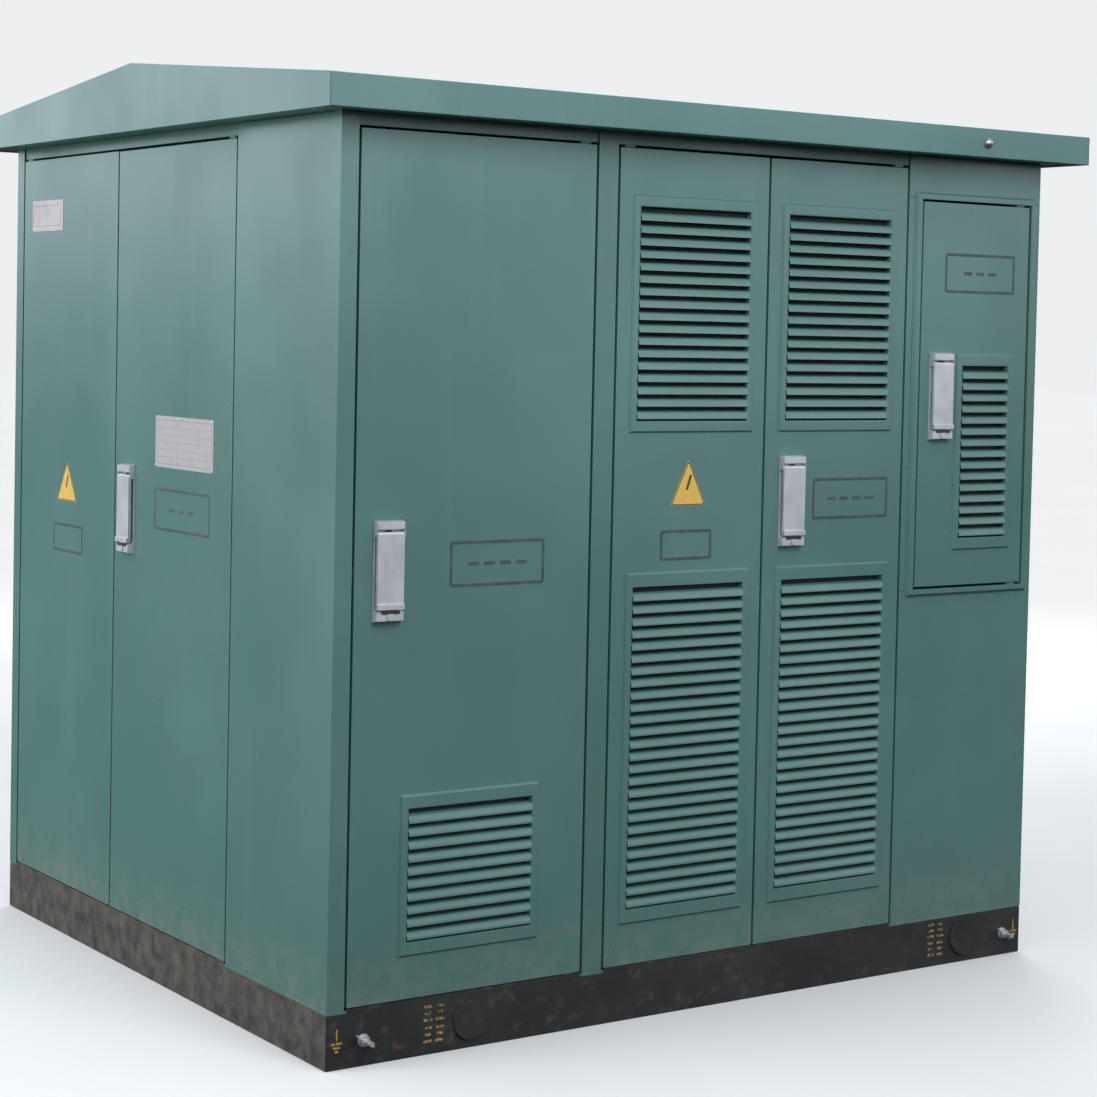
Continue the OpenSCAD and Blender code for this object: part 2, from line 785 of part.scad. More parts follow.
// one blade as a section: its top edge sits inside, behind the blade above, and it curls out and down
module blade_section() {
    outer = [for (a = [0:22.5:90]) [-blade_out * sin(a), blade_h * cos(a)]];
    inner = [for (a = [90:-22.5:0]) [-(blade_out - blade_t) * sin(a), (blade_h - blade_t) * cos(a)]];
    polygon(concat([[blade_in, blade_top]], outer, inner, [[blade_in, blade_top - 2 * blade_t]]));
}

// bevelled border with rolled blades, lying on the door's face
module louvre(x, z, w, h) {
    count = floor((h - 60) / blade_pitch);
    first = (h - count * blade_pitch) / 2;
    inner_w = w - 2 * border_w;
    translate([x, 0, z]) {
        difference() {
            bevel_block(w, h, border_out, 4);
            box([border_w, -border_out - 1, first - 4], [w - border_w, 1, h - first + 4]);
        }
        for (side = [border_w - cheek, w - border_w])
            box([side, -1, first - 4], [side + cheek, blade_in, h - first + 4]);
        translate([border_w - 1, 0, 0]) rotate([90, 0, 90]) linear_extrude(inner_w + 2)
            for (i = [0:count - 1]) translate([0, first + i * blade_pitch + 1]) blade_section();
    }
}

module louvre_auto() {
    color(paint) on_front() louvre(auto_louvre[0], auto_louvre[1], auto_louvre[2], auto_louvre[3]);
}
module louvre_tx_left() {
    color(paint) on_front() for (c = tx_louvres(tx_left_louvre_x)) louvre(c[0], c[1], c[2], c[3]);
}
module louvre_tx_right() {
    color(paint) on_front() for (c = tx_louvres(tx_right_louvre_x)) louvre(c[0], c[1], c[2], c[3]);
}
module louvre_meter() {
    color(paint) on_front() translate([0, -meter_door_proud, 0])
        louvre(meter_louvre[0], meter_louvre[1], meter_louvre[2], meter_louvre[3]);
}
module louvre_rear() {
    color(paint) on_rear() for (c = rear_louvres) louvre(c[0], c[1], c[2], c[3]);
}

// ---------------------------------------------------------------- handles

lever_w = handle_w - 6;
lever_low = 198;
case_w = 66;
bolt_y = [8, 20];

// plate, cap, foot, lock cylinder and lever pin on the door's face, and the lock case behind it;
// free is the direction of the door's free edge along local x
module handle_plate(x, top, free) {
    az = lever_z(top);
    difference() {
        union() {
            box([x - handle_w / 2, -4, top - handle_h], [x + handle_w / 2, 0, top]);
            translate([x - handle_w / 2, -4, top - handle_cap])
                bevel_block(handle_w, handle_cap, handle_out - 4, 3);
            translate([x - handle_w / 2, -4, top - handle_h])
                bevel_block(handle_w, handle_foot, handle_out - 4, 3);
            for (s = [-1, 1])
                box([x + s * 37 - 1, -lever_axis_out - 5, az - 6], [x + s * 37 + 1, -4, az + 10]);
            rod_x(x - 37, x + 37, -lever_axis_out, az, lever_pin_r, fine_fn);
            rod_y(x, top - handle_h + handle_foot / 2, 9, -handle_out - 3, -handle_out + 1, fine_fn);
        }
        box([x - 9, -5, az - 24], [x + 9, 1, az + 8]);
    }
    difference() {
        box([x - case_w / 2, sheet, top - 145], [x + case_w / 2, door_t - 3, top - 12]);
        box([x - case_w / 2 + 2, sheet - 1, top - 143], [x + case_w / 2 - 2, door_t - 5, top - 14]);
        box([x + free * case_w / 2 - 3, bolt_y[0] - 1, mid_latch(top) - 13],
            [x + free * case_w / 2 + 3, bolt_y[1] + 1, mid_latch(top) + 13]);
    }
}

// paddle lever with its knuckle, its finger lip and the short tail that works the latch
module handle_lever(x, top) {
    az = lever_z(top);
    difference() {
        union() {
            rod_x(x - lever_w / 2 + 1, x + lever_w / 2 - 1, -lever_axis_out, az, 5.2, fine_fn);
            box([x - lever_w / 2, -handle_out, top - lever_low], [x + lever_w / 2, -lever_axis_out, az]);
            box([x - lever_w / 2, -handle_out - 5, top - lever_low - 3],
                [x + lever_w / 2, -lever_axis_out - 2, top - lever_low + 9]);
            box([x - 5, -lever_axis_out, az - 3], [x + 5, 13, az + 3]);
        }
        box([x - lever_w / 2 + 4, -handle_out + 3, top - lever_low + 12],
            [x + lever_w / 2 - 4, -lever_axis_out + 1, az - 14]);
        rod_x(x - lever_w / 2 - 1, x + lever_w / 2 + 1, -lever_axis_out, az, lever_pin_r + running, fine_fn);
    }
}

// spring latch bolt; edge is the x of the door's free edge
module latch_bolt(x, top, edge) {
    free = sign(edge - x);
    z = mid_latch(top);
    a = min(x - free * 10, edge + free * 3);
    b = max(x - free * 10, edge + free * 3);
    box([a, bolt_y[0], z - 12], [b, bolt_y[1], z + 12]);
    rod_y(x - free * 2, z, 7, 4, bolt_y[0] + 1, fine_fn);
}

module handle_plate_auto() { color(steel) on_front() handle_plate(auto_handle_x, top_auto, -1); }
module handle_plate_tx() { color(steel) on_front() handle_plate(tx_handle_x, top_tx, -1); }
module handle_plate_meter() {
    color(steel) on_front() translate([0, -meter_door_proud, 0]) handle_plate(meter_handle_x, top_meter, -1);
}
module handle_plate_side() { color(steel) on_left() handle_plate(side_handle_x, top_side, -1); }
module handle_plate_hv() { color(steel) on_right() handle_plate(hv_handle_x, top_side, 1); }

module handle_lever_auto() { color(steel) on_front() handle_lever(auto_handle_x, top_auto); }
module handle_lever_tx() { color(steel) on_front() handle_lever(tx_handle_x, top_tx); }
module handle_lever_meter() {
    color(steel) on_front() translate([0, -meter_door_proud, 0]) handle_lever(meter_handle_x, top_meter);
}
module handle_lever_side() { color(steel) on_left() handle_lever(side_handle_x, top_side); }
module handle_lever_hv() { color(steel) on_right() handle_lever(hv_handle_x, top_side); }

module latch_bolt_auto() { color(zinc) on_front() latch_bolt(auto_handle_x, top_auto, auto_x); }
module latch_bolt_tx() { color(zinc) on_front() latch_bolt(tx_handle_x, top_tx, tx_right_x); }
module latch_bolt_meter() {
    color(zinc) on_front() translate([0, -meter_door_proud, 0])
        latch_bolt(meter_handle_x, top_meter, meter_door_x);
}
module latch_bolt_side() { color(zinc) on_left() latch_bolt(side_handle_x, top_side, side_a_x); }
module latch_bolt_hv() {
    color(zinc) on_right() latch_bolt(hv_handle_x, top_side, hv_a_x + side_active_w);
}

// ---------------------------------------------------------------- transformer

// places children at the middle of the tank's floor plan
module at_tank() {
    on_front() translate([tank_mid[0], tank_mid[1], 0]) children();
}

fin_z0 = tank_z + 60;
fin_z1 = cover_z - 60;

module transformer_tank() {
    hx = tank[0] / 2;
    hy = tank[1] / 2;
    nx = floor((tank[1] - 60) / fin_pitch);
    ny = floor((tank[0] - 60) / fin_pitch);
    color(paint_dark) at_tank() {
        difference() {
            union() {
                box([-hx, -hy, tank_z], [hx, hy, cover_z]);
                box([-hx - 30, -hy - 30, cover_z - 10], [hx + 30, hy + 30, cover_z]);
                for (i = [0:nx], s = [-1, 1]) {
                    y = (i - nx / 2) * fin_pitch;
                    box([min(0, s * (hx + fin_d)), y - fin_t / 2, fin_z0],
                        [max(0, s * (hx + fin_d)), y + fin_t / 2, fin_z1]);
                }
                for (i = [0:ny], s = [-1, 1]) {
                    x = (i - ny / 2) * fin_pitch;
                    box([x - fin_t / 2, min(0, s * (hy + fin_d)), fin_z0],
                        [x + fin_t / 2, max(0, s * (hy + fin_d)), fin_z1]);
                }
            }
            box([-hx + tank_wall, -hy + tank_wall, tank_z + tank_wall],
                [hx - tank_wall, hy - tank_wall, cover_z + 1]);
        }
    }
}

module transformer_cover() {
    hx = tank[0] / 2 + 30;
    hy = tank[1] / 2 + 30;
    color(paint_dark) at_tank() {
        box([-hx, -hy, cover_z], [hx, hy, cover_top]);
        for (x = [-hx + 12, hx - 12], y = [-hy + 60:(2 * hy - 120) / 8:hy - 60])
            translate([x, y, cover_top]) cylinder(r = 9, h = 9, $fn = 6);
    }
}

core_z0 = tank_z + tank_wall + 20;
yoke = 100;
limb_h = 440;

module transformer_core() {
    half = limb_pitch + yoke / 2;
    color(dark_plastic) at_tank() {
        for (z = [core_z0, core_z0 + yoke + limb_h])
            box([-yoke / 2, -half, z], [yoke / 2, half, z + yoke]);
        for (i = [-1:1])
            box([-yoke / 2, i * limb_pitch - yoke / 2, core_z0 + yoke - 1],
                [yoke / 2, i * limb_pitch + yoke / 2, core_z0 + yoke + limb_h + 1]);
        for (s = [-1, 1])
            box([-90, s * 260 - 25, tank_z + tank_wall], [90, s * 260 + 25, core_z0 + 1]);
    }
}

module transformer_windings() {
    color(copper) at_tank() for (i = [-1:1], r = [[76, 98], [108, 140]])
        translate([0, i * limb_pitch, core_z0 + yoke + 12]) difference() {
            cylinder(r = r[1], h = limb_h - 24, $fn = round_fn);
            translate([0, 0, -1]) cylinder(r = r[0], h = limb_h, $fn = round_fn);
        }
}

// shedded porcelain insulator standing on z = 0, with its terminal stem
module bushing(h, r, sheds) {
    step = h / (sheds + 1);
    rotate_extrude($fn = round_fn) polygon(concat(
        [[0, 0], [r * 0.8, 0], [r * 0.8, 8]],
        [for (i = [0:sheds - 1], p = [[0.5, 8], [1, 14], [1, 18], [0.5, 24]])
            [r * p[0], p[1] + i * step * (h - 30) / h]],
        [[r * 0.45, h], [0, h]]
    ));
    translate([0, 0, h - 1]) cylinder(r = 9, h = 12, $fn = fine_fn);
}

module transformer_bushings() {
    color(porcelain) at_tank() {
        for (i = [-1:1])
            translate([hv_bush_x - tank_mid[0], i * hv_pitch, cover_top]) bushing(hv_bush_h, 46, 5);
        for (i = [-1.5:1:1.5])
            translate([lv_bush_x - tank_mid[0], i * lv_pitch, cover_top]) bushing(lv_bush_h, 34, 3);
    }
}

module transformer_fittings() {
    hx = tank[0] / 2;
    hy = tank[1] / 2;
    color(zinc) at_tank() {
        // skid channels under the tank
        for (x = [-150, 100])
            box([x, -hy - 80, floor_top], [x + 50, hy + 80, tank_z]);
        // oil filler, pressure relief and thermometer pocket on the cover
        translate([0, -hy + 130, cover_top]) cylinder(r = 38, h = 120, $fn = round_fn);
        translate([0, -hy + 130, cover_top + 121]) cylinder(r = 46, h = 16, $fn = round_fn);
        translate([0, hy - 130, cover_top]) cylinder(r = 30, h = 60, $fn = round_fn);
        translate([-60, -hy + 60, cover_top]) cylinder(r = 16, h = 70, $fn = fine_fn);
        // lifting lugs
        for (x = [-hx + 60, hx - 60], y = [-hy + 20, hy - 20])
            box([x - 6, y - 25, cover_top], [x + 6, y + 25, cover_top + 70]);
        // drain valve low on the front end
        translate([-120, -hy, tank_z + 32]) rotate([90, 0, 0]) cylinder(r = 16, h = 60, $fn = fine_fn);
        translate([-120, -hy - 61, tank_z + 32]) rotate([90, 0, 0]) cylinder(r = 24, h = 14, $fn = 6);
    }
}

// ---------------------------------------------------------------- low voltage room

module at_lv() {
    on_front() translate([lv_board_x, lv_board_y, floor_top]) children();
}

board_wall = 3;

// cabinet whose front faces the left doors, with a recess for each row of switches
module lv_switchboard() {
    d = lv_board[0];
    w = lv_board[1];
    h = lv_board[2];
    color(grey_box) at_lv() difference() {
        box([0, 0, 0], [d, w, h]);
        box([board_wall + 30, board_wall, board_wall], [d + 1, w - board_wall, h - board_wall]);
        box([-1, 60, 1240], [90, 560, 1700]);
        for (z = [150, 690]) box([-1, 620, z + 60], [90, w - 60, z + 460]);
        box([-1, 60, 160], [90, 560, 1140]);
        box([-1, 620, 1260], [20, w - 60, 1700]);
    }
}

module breaker(y, z, w, h, d) {
    box([88 - d, y, z], [89, y + w, z + h]);
    box([88 - d - 14, y + w * 0.25, z + h * 0.3], [90 - d, y + w * 0.75, z + h * 0.7]);
    box([88 - d - 30, y + w * 0.42, z + h * 0.45], [88 - d - 13, y + w * 0.58, z + h * 0.6]);
}

module lv_breakers() {
    color(dark_plastic) at_lv() {
        breaker(110, 1280, 400, 380, 80);
        for (row = [0, 1], i = [0:3]) breaker(630 + i * 138, 240 + row * 540, 120, 300, 70);
        for (row = [0:2], i = [0:2]) breaker(80 + i * 160, 190 + row * 315, 130, 250, 60);
    }
}

module lv_busbars() {
    color(copper) on_front() for (i = [-1.5:1:1.5]) {
        y = tank_mid[1] + i * lv_pitch;
        // flag on the bushing, bar through the wall and drop into the switchboard's top
        box([lv_board_x + lv_board[0] - 120 + i * 20, y - 30, lv_line_z],
            [lv_bush_x + 22, y + 30, lv_line_z + 8]);
    }
}

// ---------------------------------------------------------------- high voltage room

module at_hv() {
    on_front() translate([hv_board_x, hv_board_y, floor_top]) children();
}

// ring main unit that faces the right doors: gas tank, cable bays and a mimic panel
module hv_switchgear() {
    d = hv_board[0];
    w = hv_board[1];
    h = hv_board[2];
    bay = w / 3;
    color(grey_box) at_hv() {
        difference() {
            box([0, 0, 0], [d, w, h]);
            box([board_wall, board_wall, board_wall], [d - board_wall, w - board_wall, h - board_wall]);
        }
        for (i = [0:2]) {
            box([d, i * bay + 15, 40], [d + 6, (i + 1) * bay - 15, 680]);
            box([d, i * bay + 15, 720], [d + 12, (i + 1) * bay - 15, 1180]);
            box([d, i * bay + 15, 1220], [d + 6, (i + 1) * bay - 15, h - 40]);
            translate([d + 12, (i + 0.5) * bay, 950]) rotate([0, 90, 0])
                cylinder(r = 34, h = 10, $fn = round_fn);
        }
    }
}

// screened leads from the bushings through the wall to the switchgear, with their elbows
module hv_cables() {
    color(dark_plastic) on_front() for (i = [-1:1]) {
        y = tank_mid[1] + i * hv_pitch;
        rod_x(hv_bush_x - 30, hv_board_x - weld / 4, y, hv_line_z, 15, fine_fn);
        translate([hv_bush_x, y, hv_line_z - 26]) cylinder(r = 24, h = 60, $fn = fine_fn);
        rod_x(hv_bush_x - 60, hv_bush_x + 70, y, hv_line_z, 25, fine_fn);
    }
}

// ---------------------------------------------------------------- automation and meter rooms

module automation_cabinet() {
    x0 = 110;
    x1 = 610;
    y0 = 190;
    y1 = 440;
    z1 = floor_top + 1650;
    color(grey_box) on_front() {
        difference() {
            box([x0, y0, floor_top], [x1, y1, z1]);
            box([x0 + 3, y0 + 3, floor_top + 3], [x1 - 3, y1 - 3, z1 - 3]);
        }
        box([x0 + 12, y0 - 18, floor_top + 60], [x1 - 12, y0, z1 - 12]);
        box([x0 + 120, y0 - 26, floor_top + 1150], [x1 - 120, y0 - 17, floor_top + 1400]);
        for (i = [0:4])
            rod_y(x0 + 130 + i * 60, floor_top + 1060, 12, y0 - 28, y0 - 17, fine_fn);
        rod_y(x1 - 50, floor_top + 900, 10, y0 - 30, y0 - 17, fine_fn);
    }
}

module energy_meters() {
    x0 = meter_x + 60;
    x1 = body_l - 70;
    y0 = 230;
    color(grey_box) on_front() {
        // backboard on two brackets, two meters and their terminal covers
        box([x0, y0, 1040], [x1, y0 + 6, 1980]);
        for (x = [x0 + 20, x1 - 50]) box([x, y0 + 6.5, 1200], [x + 30, wall_front - 1, 1800]);
        for (z = [1100, 1560]) {
            box([x0 + 75, y0 - 78, z + 60], [x1 - 75, y0, z + 330]);
            box([x0 + 83, y0 - 60, z], [x1 - 83, y0, z + 58]);
            rod_y((x0 + x1) / 2, z + 230, 44, y0 - 84, y0 - 77);
        }
    }
}

// ---------------------------------------------------------------- assembly

base_frame();
floor_plates();
frame_posts();
frame_rails();
fixed_panels();
meter_panel();
meter_door_frame();
room_partitions();
roof_sheets();
roof_gables();
roof_rafters();
roof_soffit();
panel_bolts();
earth_terminals();
hinge_pins();
lifting_pin_fl();
lifting_pin_fr();
lifting_pin_rl();
lifting_pin_rr();
door_auto();
door_tx_left();
door_tx_right();
door_meter();
door_side_a();
door_side_b();
door_hv_a();
door_hv_b();
louvre_auto();
louvre_tx_left();
louvre_tx_right();
louvre_meter();
louvre_rear();
handle_plate_auto();
handle_plate_tx();
handle_plate_meter();
handle_plate_side();
handle_plate_hv();
handle_lever_auto();
handle_lever_tx();
handle_lever_meter();
handle_lever_side();
handle_lever_hv();
latch_bolt_auto();
latch_bolt_tx();
latch_bolt_meter();
latch_bolt_side();
latch_bolt_hv();
transformer_tank();
transformer_cover();
transformer_core();
transformer_windings();
transformer_bushings();
transformer_fittings();
lv_switchboard();
lv_breakers();
lv_busbars();
hv_switchgear();
hv_cables();
automation_cabinet();
energy_meters();
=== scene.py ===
import json
import math

import bmesh
import bpy
from mathutils import Matrix, Vector

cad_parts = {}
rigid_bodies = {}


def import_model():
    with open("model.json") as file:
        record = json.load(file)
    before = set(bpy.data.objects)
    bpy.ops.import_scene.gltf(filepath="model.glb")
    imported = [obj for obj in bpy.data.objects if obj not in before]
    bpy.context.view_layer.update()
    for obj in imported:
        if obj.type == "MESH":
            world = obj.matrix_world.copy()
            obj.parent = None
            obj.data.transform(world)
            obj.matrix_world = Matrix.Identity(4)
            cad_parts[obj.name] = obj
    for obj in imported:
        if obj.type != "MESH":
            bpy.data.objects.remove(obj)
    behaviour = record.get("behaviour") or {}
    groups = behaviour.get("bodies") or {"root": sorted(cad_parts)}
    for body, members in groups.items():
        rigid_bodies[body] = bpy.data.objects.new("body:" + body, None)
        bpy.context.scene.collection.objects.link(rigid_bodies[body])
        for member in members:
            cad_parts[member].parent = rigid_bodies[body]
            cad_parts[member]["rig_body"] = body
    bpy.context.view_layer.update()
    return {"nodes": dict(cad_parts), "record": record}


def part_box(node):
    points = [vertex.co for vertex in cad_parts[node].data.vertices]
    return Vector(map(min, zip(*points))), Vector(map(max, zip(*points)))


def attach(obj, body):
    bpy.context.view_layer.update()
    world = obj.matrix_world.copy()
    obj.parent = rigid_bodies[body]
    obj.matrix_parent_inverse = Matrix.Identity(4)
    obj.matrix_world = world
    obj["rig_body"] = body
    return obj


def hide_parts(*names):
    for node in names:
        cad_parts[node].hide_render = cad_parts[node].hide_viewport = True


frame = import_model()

record = frame["record"]
slotOfNode = {part["node"]: part["material_slot"] for part in record["subparts"]}
mm = 0.001

# the enclosure's four faces: x runs from left to right as seen from outside, z up, and out to the viewer
baseLow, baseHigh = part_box("base_frame")
faceOrigin = {
    "front": ((baseLow.x, baseLow.y), (1, 0), (0, -1)),
    "left": ((baseLow.x, baseHigh.y), (0, -1), (-1, 0)),
    "right": ((baseHigh.x, baseLow.y), (0, 1), (1, 0)),
    "rear": ((baseHigh.x, baseHigh.y), (-1, 0), (0, 1)),
}


def facePlane(face):
    # columns are along the face, up, and out of it, so a flat drawing lands on that face
    corner, along, out = faceOrigin[face]
    return Matrix((
        (along[0], 0, out[0], corner[0]),
        (along[1], 0, out[1], corner[1]),
        (0, 1, 0, 0),
        (0, 0, 0, 1),
    ))


def facePlaces(face, low, high):
    # a box of the row frame as x, z and out on a face, in metres
    turn = facePlane(face).inverted()
    a, b = turn @ Vector(low), turn @ Vector(high)
    return Vector([min(a[i], b[i]) for i in range(3)]), Vector([max(a[i], b[i]) for i in range(3)])


def linear(hexColour):
    # sRGB hex to the linear colour that a shader takes
    value = hexColour.lstrip("#")
    parts = [int(value[i:i + 2], 16) / 255 for i in (0, 2, 4)]
    return tuple([p / 12.92 if p <= 0.04045 else ((p + 0.055) / 1.055) ** 2.4 for p in parts] + [1.0])


def addNode(tree, kind, settings=None, links=None):
    # one shader node, with its properties or socket values and the sockets that feed it
    node = tree.nodes.new("ShaderNode" + kind)
    for name, value in (settings or {}).items():
        if isinstance(name, str) and hasattr(node, name):
            setattr(node, name, value)
        else:
            node.inputs[name].default_value = value
    for name, source in (links or {}).items():
        tree.links.new(source, node.inputs[name])
    return node


def newFinish(name):
    # an empty material with its shader, and the piece's own coordinates in metres
    material = bpy.data.materials.new(name)
    material.use_nodes = True
    tree = material.node_tree
    shader = tree.nodes["Principled BSDF"]
    place = addNode(tree, "TexCoord").outputs["Object"]
    return material, tree, shader, place


def noise(tree, place, size, detail=3.0, rough=0.55, stretch=(1, 1, 1)):
    # cloudy pattern whose blotches are about size metres across, longer where stretch is above 1
    spread = addNode(tree, "VectorMath", {"operation": "DIVIDE", 1: stretch}, {0: place})
    return addNode(tree, "TexNoise", {"Scale": 1 / size, "Detail": detail, "Roughness": rough},
                   {"Vector": spread.outputs[0]}).outputs["Fac"]


def remap(tree, value, low, high, toLow=0.0, toHigh=1.0):
    # the value's share of the way from low to high, eased at both ends, as a number from toLow to toHigh
    return addNode(tree, "MapRange", {"interpolation_type": "SMOOTHSTEP", "From Min": low, "From Max": high,
                                      "To Min": toLow, "To Max": toHigh}, {"Value": value}).outputs["Result"]


def times(tree, a, b):
    node = addNode(tree, "Math", {"operation": "MULTIPLY"}, {0: a})
    if isinstance(b, (int, float)):
        node.inputs[1].default_value = b
    else:
        tree.links.new(b, node.inputs[1])
    return node.outputs[0]


def blendColour(tree, share, under, over):
    # over covers under by share; each is a hex colour or a socket
    node = addNode(tree, "Mix", {"data_type": "RGBA"}, {0: share})
    for index, colour in ((6, under), (7, over)):
        if isinstance(colour, str):
            node.inputs[index].default_value = linear(colour)
        else:
            tree.links.new(colour, node.inputs[index])
    return node.outputs[2]


def bumps(tree, shader, layers):
    # relief from (height socket, strength, depth in metres) layers, one over the other
    normal = None
    for height, strength, depth in layers:
        node = addNode(tree, "Bump", {"Strength": strength, "Distance": depth}, {"Height": height})
        if normal:
            tree.links.new(normal, node.inputs["Normal"])
        normal = node.outputs["Normal"]
    tree.links.new(normal, shader.inputs["Normal"])


greenLook = {
    "fresh": "#5b837e", "sunned": "#648c87", "deep": "#537a75", "dust": "#8b8d7e", "streak": "#809b96",
    "roughness": 0.27, "uneven": 0.06, "peelMm": 7, "peel": 0.06, "sag": 0.30, "dustTop": 0.42,
}


def powderCoat(name, look):
    # Polyester powder sprayed and baked on folded steel sheet: satin, with orange peel in the gloss, faint
    # cloudy fading, rain streaks and a little dust thrown up near the ground. Real peel is 2 to 3 mm across.
    material, tree, shader, place = newFinish(name)
    cloud = noise(tree, place, 0.75, 2.5)
    colour = blendColour(tree, remap(tree, cloud, 0.40, 0.68), look["fresh"], look["sunned"])
    patch = noise(tree, place, 0.33, 2)
    colour = blendColour(tree, remap(tree, patch, 0.42, 0.82, 0, 0.6), colour, look["deep"])
    streak = noise(tree, place, 0.055, 5, 0.6, (1, 1, 22))
    colour = blendColour(tree, remap(tree, streak, 0.52, 0.84, 0, 0.16), colour, look["streak"])
    height = addNode(tree, "SeparateXYZ", {}, {0: place}).outputs[2]
    low = remap(tree, height, 0.12, look["dustTop"], 1, 0)
    grit = noise(tree, place, 0.05, 8, 0.7)
    dusty = times(tree, times(tree, low, low), remap(tree, grit, 0.34, 0.74, 0.0, 0.55))
    colour = blendColour(tree, dusty, colour, look["dust"])
    speck = noise(tree, place, 0.012, 2, 0.5)
    colour = blendColour(tree, remap(tree, speck, 0.76, 0.80, 0, 0.25), colour, look["dust"])
    tree.links.new(colour, shader.inputs["Base Color"])
    uneven = look["uneven"]
    rough = remap(tree, patch, 0.3, 0.8, look["roughness"] - uneven, look["roughness"] + uneven)
    rough = addNode(tree, "Math", {"operation": "ADD"}, {0: rough, 1: times(tree, dusty, 0.3)}).outputs[0]
    tree.links.new(rough, shader.inputs["Roughness"])
    shader.inputs["IOR"].default_value = 1.5
    peel = noise(tree, place, look["peelMm"] * mm, 2)
    sag = noise(tree, place, 0.5, 1.5)
    bumps(tree, shader, [(sag, look["sag"], 0.010), (peel, look["peel"], 0.0006)])
    return material


baseLook = {
    "coat": "#1e1f20", "worn": "#2c2c2b", "dust": "#6f6a61", "rust": "#5a4030", "scratch": "#8c8a84",
    "roughness": 0.62,
}


def bitumenPaint(name, look):
    # Black bitumen paint brushed on hot rolled channel: nearly matt, rolling scale under it, a lighter
    # dusty tone on the left-facing sides that is partly dust and partly painted light of the better lit left
    # side, splashes, knocks with a little rust and pale scratches from handling.
    material, tree, shader, place = newFinish(name)
    cloud = noise(tree, place, 0.25, 4)
    colour = blendColour(tree, remap(tree, cloud, 0.38, 0.66), look["coat"], look["worn"])
    outward = addNode(tree, "TexCoord").outputs["Normal"]
    side = addNode(tree, "SeparateXYZ", {}, {0: outward}).outputs
    # painted light and dust: sides that face left are lightened towards the dust colour, partly dust and
    # partly painted light of the brighter left side
    leftLitAndDusty = remap(tree, side[0], -1.0, -0.2, 1, 0)
    grit = noise(tree, place, 0.045, 8, 0.72)
    # this dust share also carries the painted light of the left-facing sides
    dusty = times(tree, leftLitAndDusty, remap(tree, grit, 0.30, 0.66, 0.08, 0.62))
    colour = blendColour(tree, dusty, colour, look["dust"])
    splash = times(tree, remap(tree, grit, 0.52, 0.70), 0.35)
    colour = blendColour(tree, splash, colour, look["dust"])
    knock = noise(tree, place, 0.09, 6, 0.65)
    colour = blendColour(tree, remap(tree, knock, 0.66, 0.74, 0, 0.7), colour, look["rust"])
    nick = noise(tree, place, 0.006, 3, 0.6, (7, 7, 1))
    nick = times(tree, remap(tree, nick, 0.69, 0.73), remap(tree, cloud, 0.48, 0.62, 0, 0.8))
    colour = blendColour(tree, nick, colour, look["scratch"])
    tree.links.new(colour, shader.inputs["Base Color"])
    tree.links.new(remap(tree, grit, 0.3, 0.7, look["roughness"] - 0.12, look["roughness"] + 0.16),
                   shader.inputs["Roughness"])
    scale = noise(tree, place, 0.010, 4)
    bumps(tree, shader, [(cloud, 0.25, 0.004), (scale, 0.22, 0.0010)])
    return material


chromeLook = {"metal": "#d3d6da", "shade": "#c3c7cb", "metallic": 0.35, "roughness": 0.34, "grainMm": 1.5}


def satinChrome(name, look):
    # Die cast zinc with satin chrome plate under clear lacquer: pale and soft, part metal, part milky film,
    # with a fine up and down brush that real plate has at 0.1 mm and is drawn wider here so that it shows.
    material, tree, shader, place = newFinish(name)
    grain = noise(tree, place, look["grainMm"] * mm, 3, 0.6, (1, 1, 40))
    cloud = noise(tree, place, 0.06, 3)
    colour = blendColour(tree, remap(tree, cloud, 0.35, 0.7), look["metal"], look["shade"])
    tree.links.new(colour, shader.inputs["Base Color"])
    shader.inputs["Metallic"].default_value = look["metallic"]
    tree.links.new(remap(tree, grain, 0.3, 0.7, look["roughness"] - 0.06, look["roughness"] + 0.10),
                   shader.inputs["Roughness"])
    bumps(tree, shader, [(grain, 0.10, 0.0002)])
    return material


zincLook = {"metal": "#a9aeb2", "spangle": "#8f969b", "stain": "#7f7b72", "metallic": 0.9, "roughness": 0.42}


def galvanisedSteel(name, look):
    # Zinc plated or hot dipped steel: a grey metal with soft spangles about 12 mm across and dull patches.
    material, tree, shader, place = newFinish(name)
    flake = addNode(tree, "TexVoronoi", {"Scale": 1 / 0.012}, {"Vector": place}).outputs["Color"]
    tone = addNode(tree, "RGBToBW", {}, {0: flake}).outputs[0]
    colour = blendColour(tree, tone, look["metal"], look["spangle"])
    dull = noise(tree, place, 0.12, 5)
    colour = blendColour(tree, remap(tree, dull, 0.52, 0.75, 0, 0.6), colour, look["stain"])
    tree.links.new(colour, shader.inputs["Base Color"])
    shader.inputs["Metallic"].default_value = look["metallic"]
    tree.links.new(remap(tree, tone, 0.0, 1.0, look["roughness"] - 0.08, look["roughness"] + 0.10),
                   shader.inputs["Roughness"])
    bumps(tree, shader, [(dull, 0.15, 0.0008)])
    return material


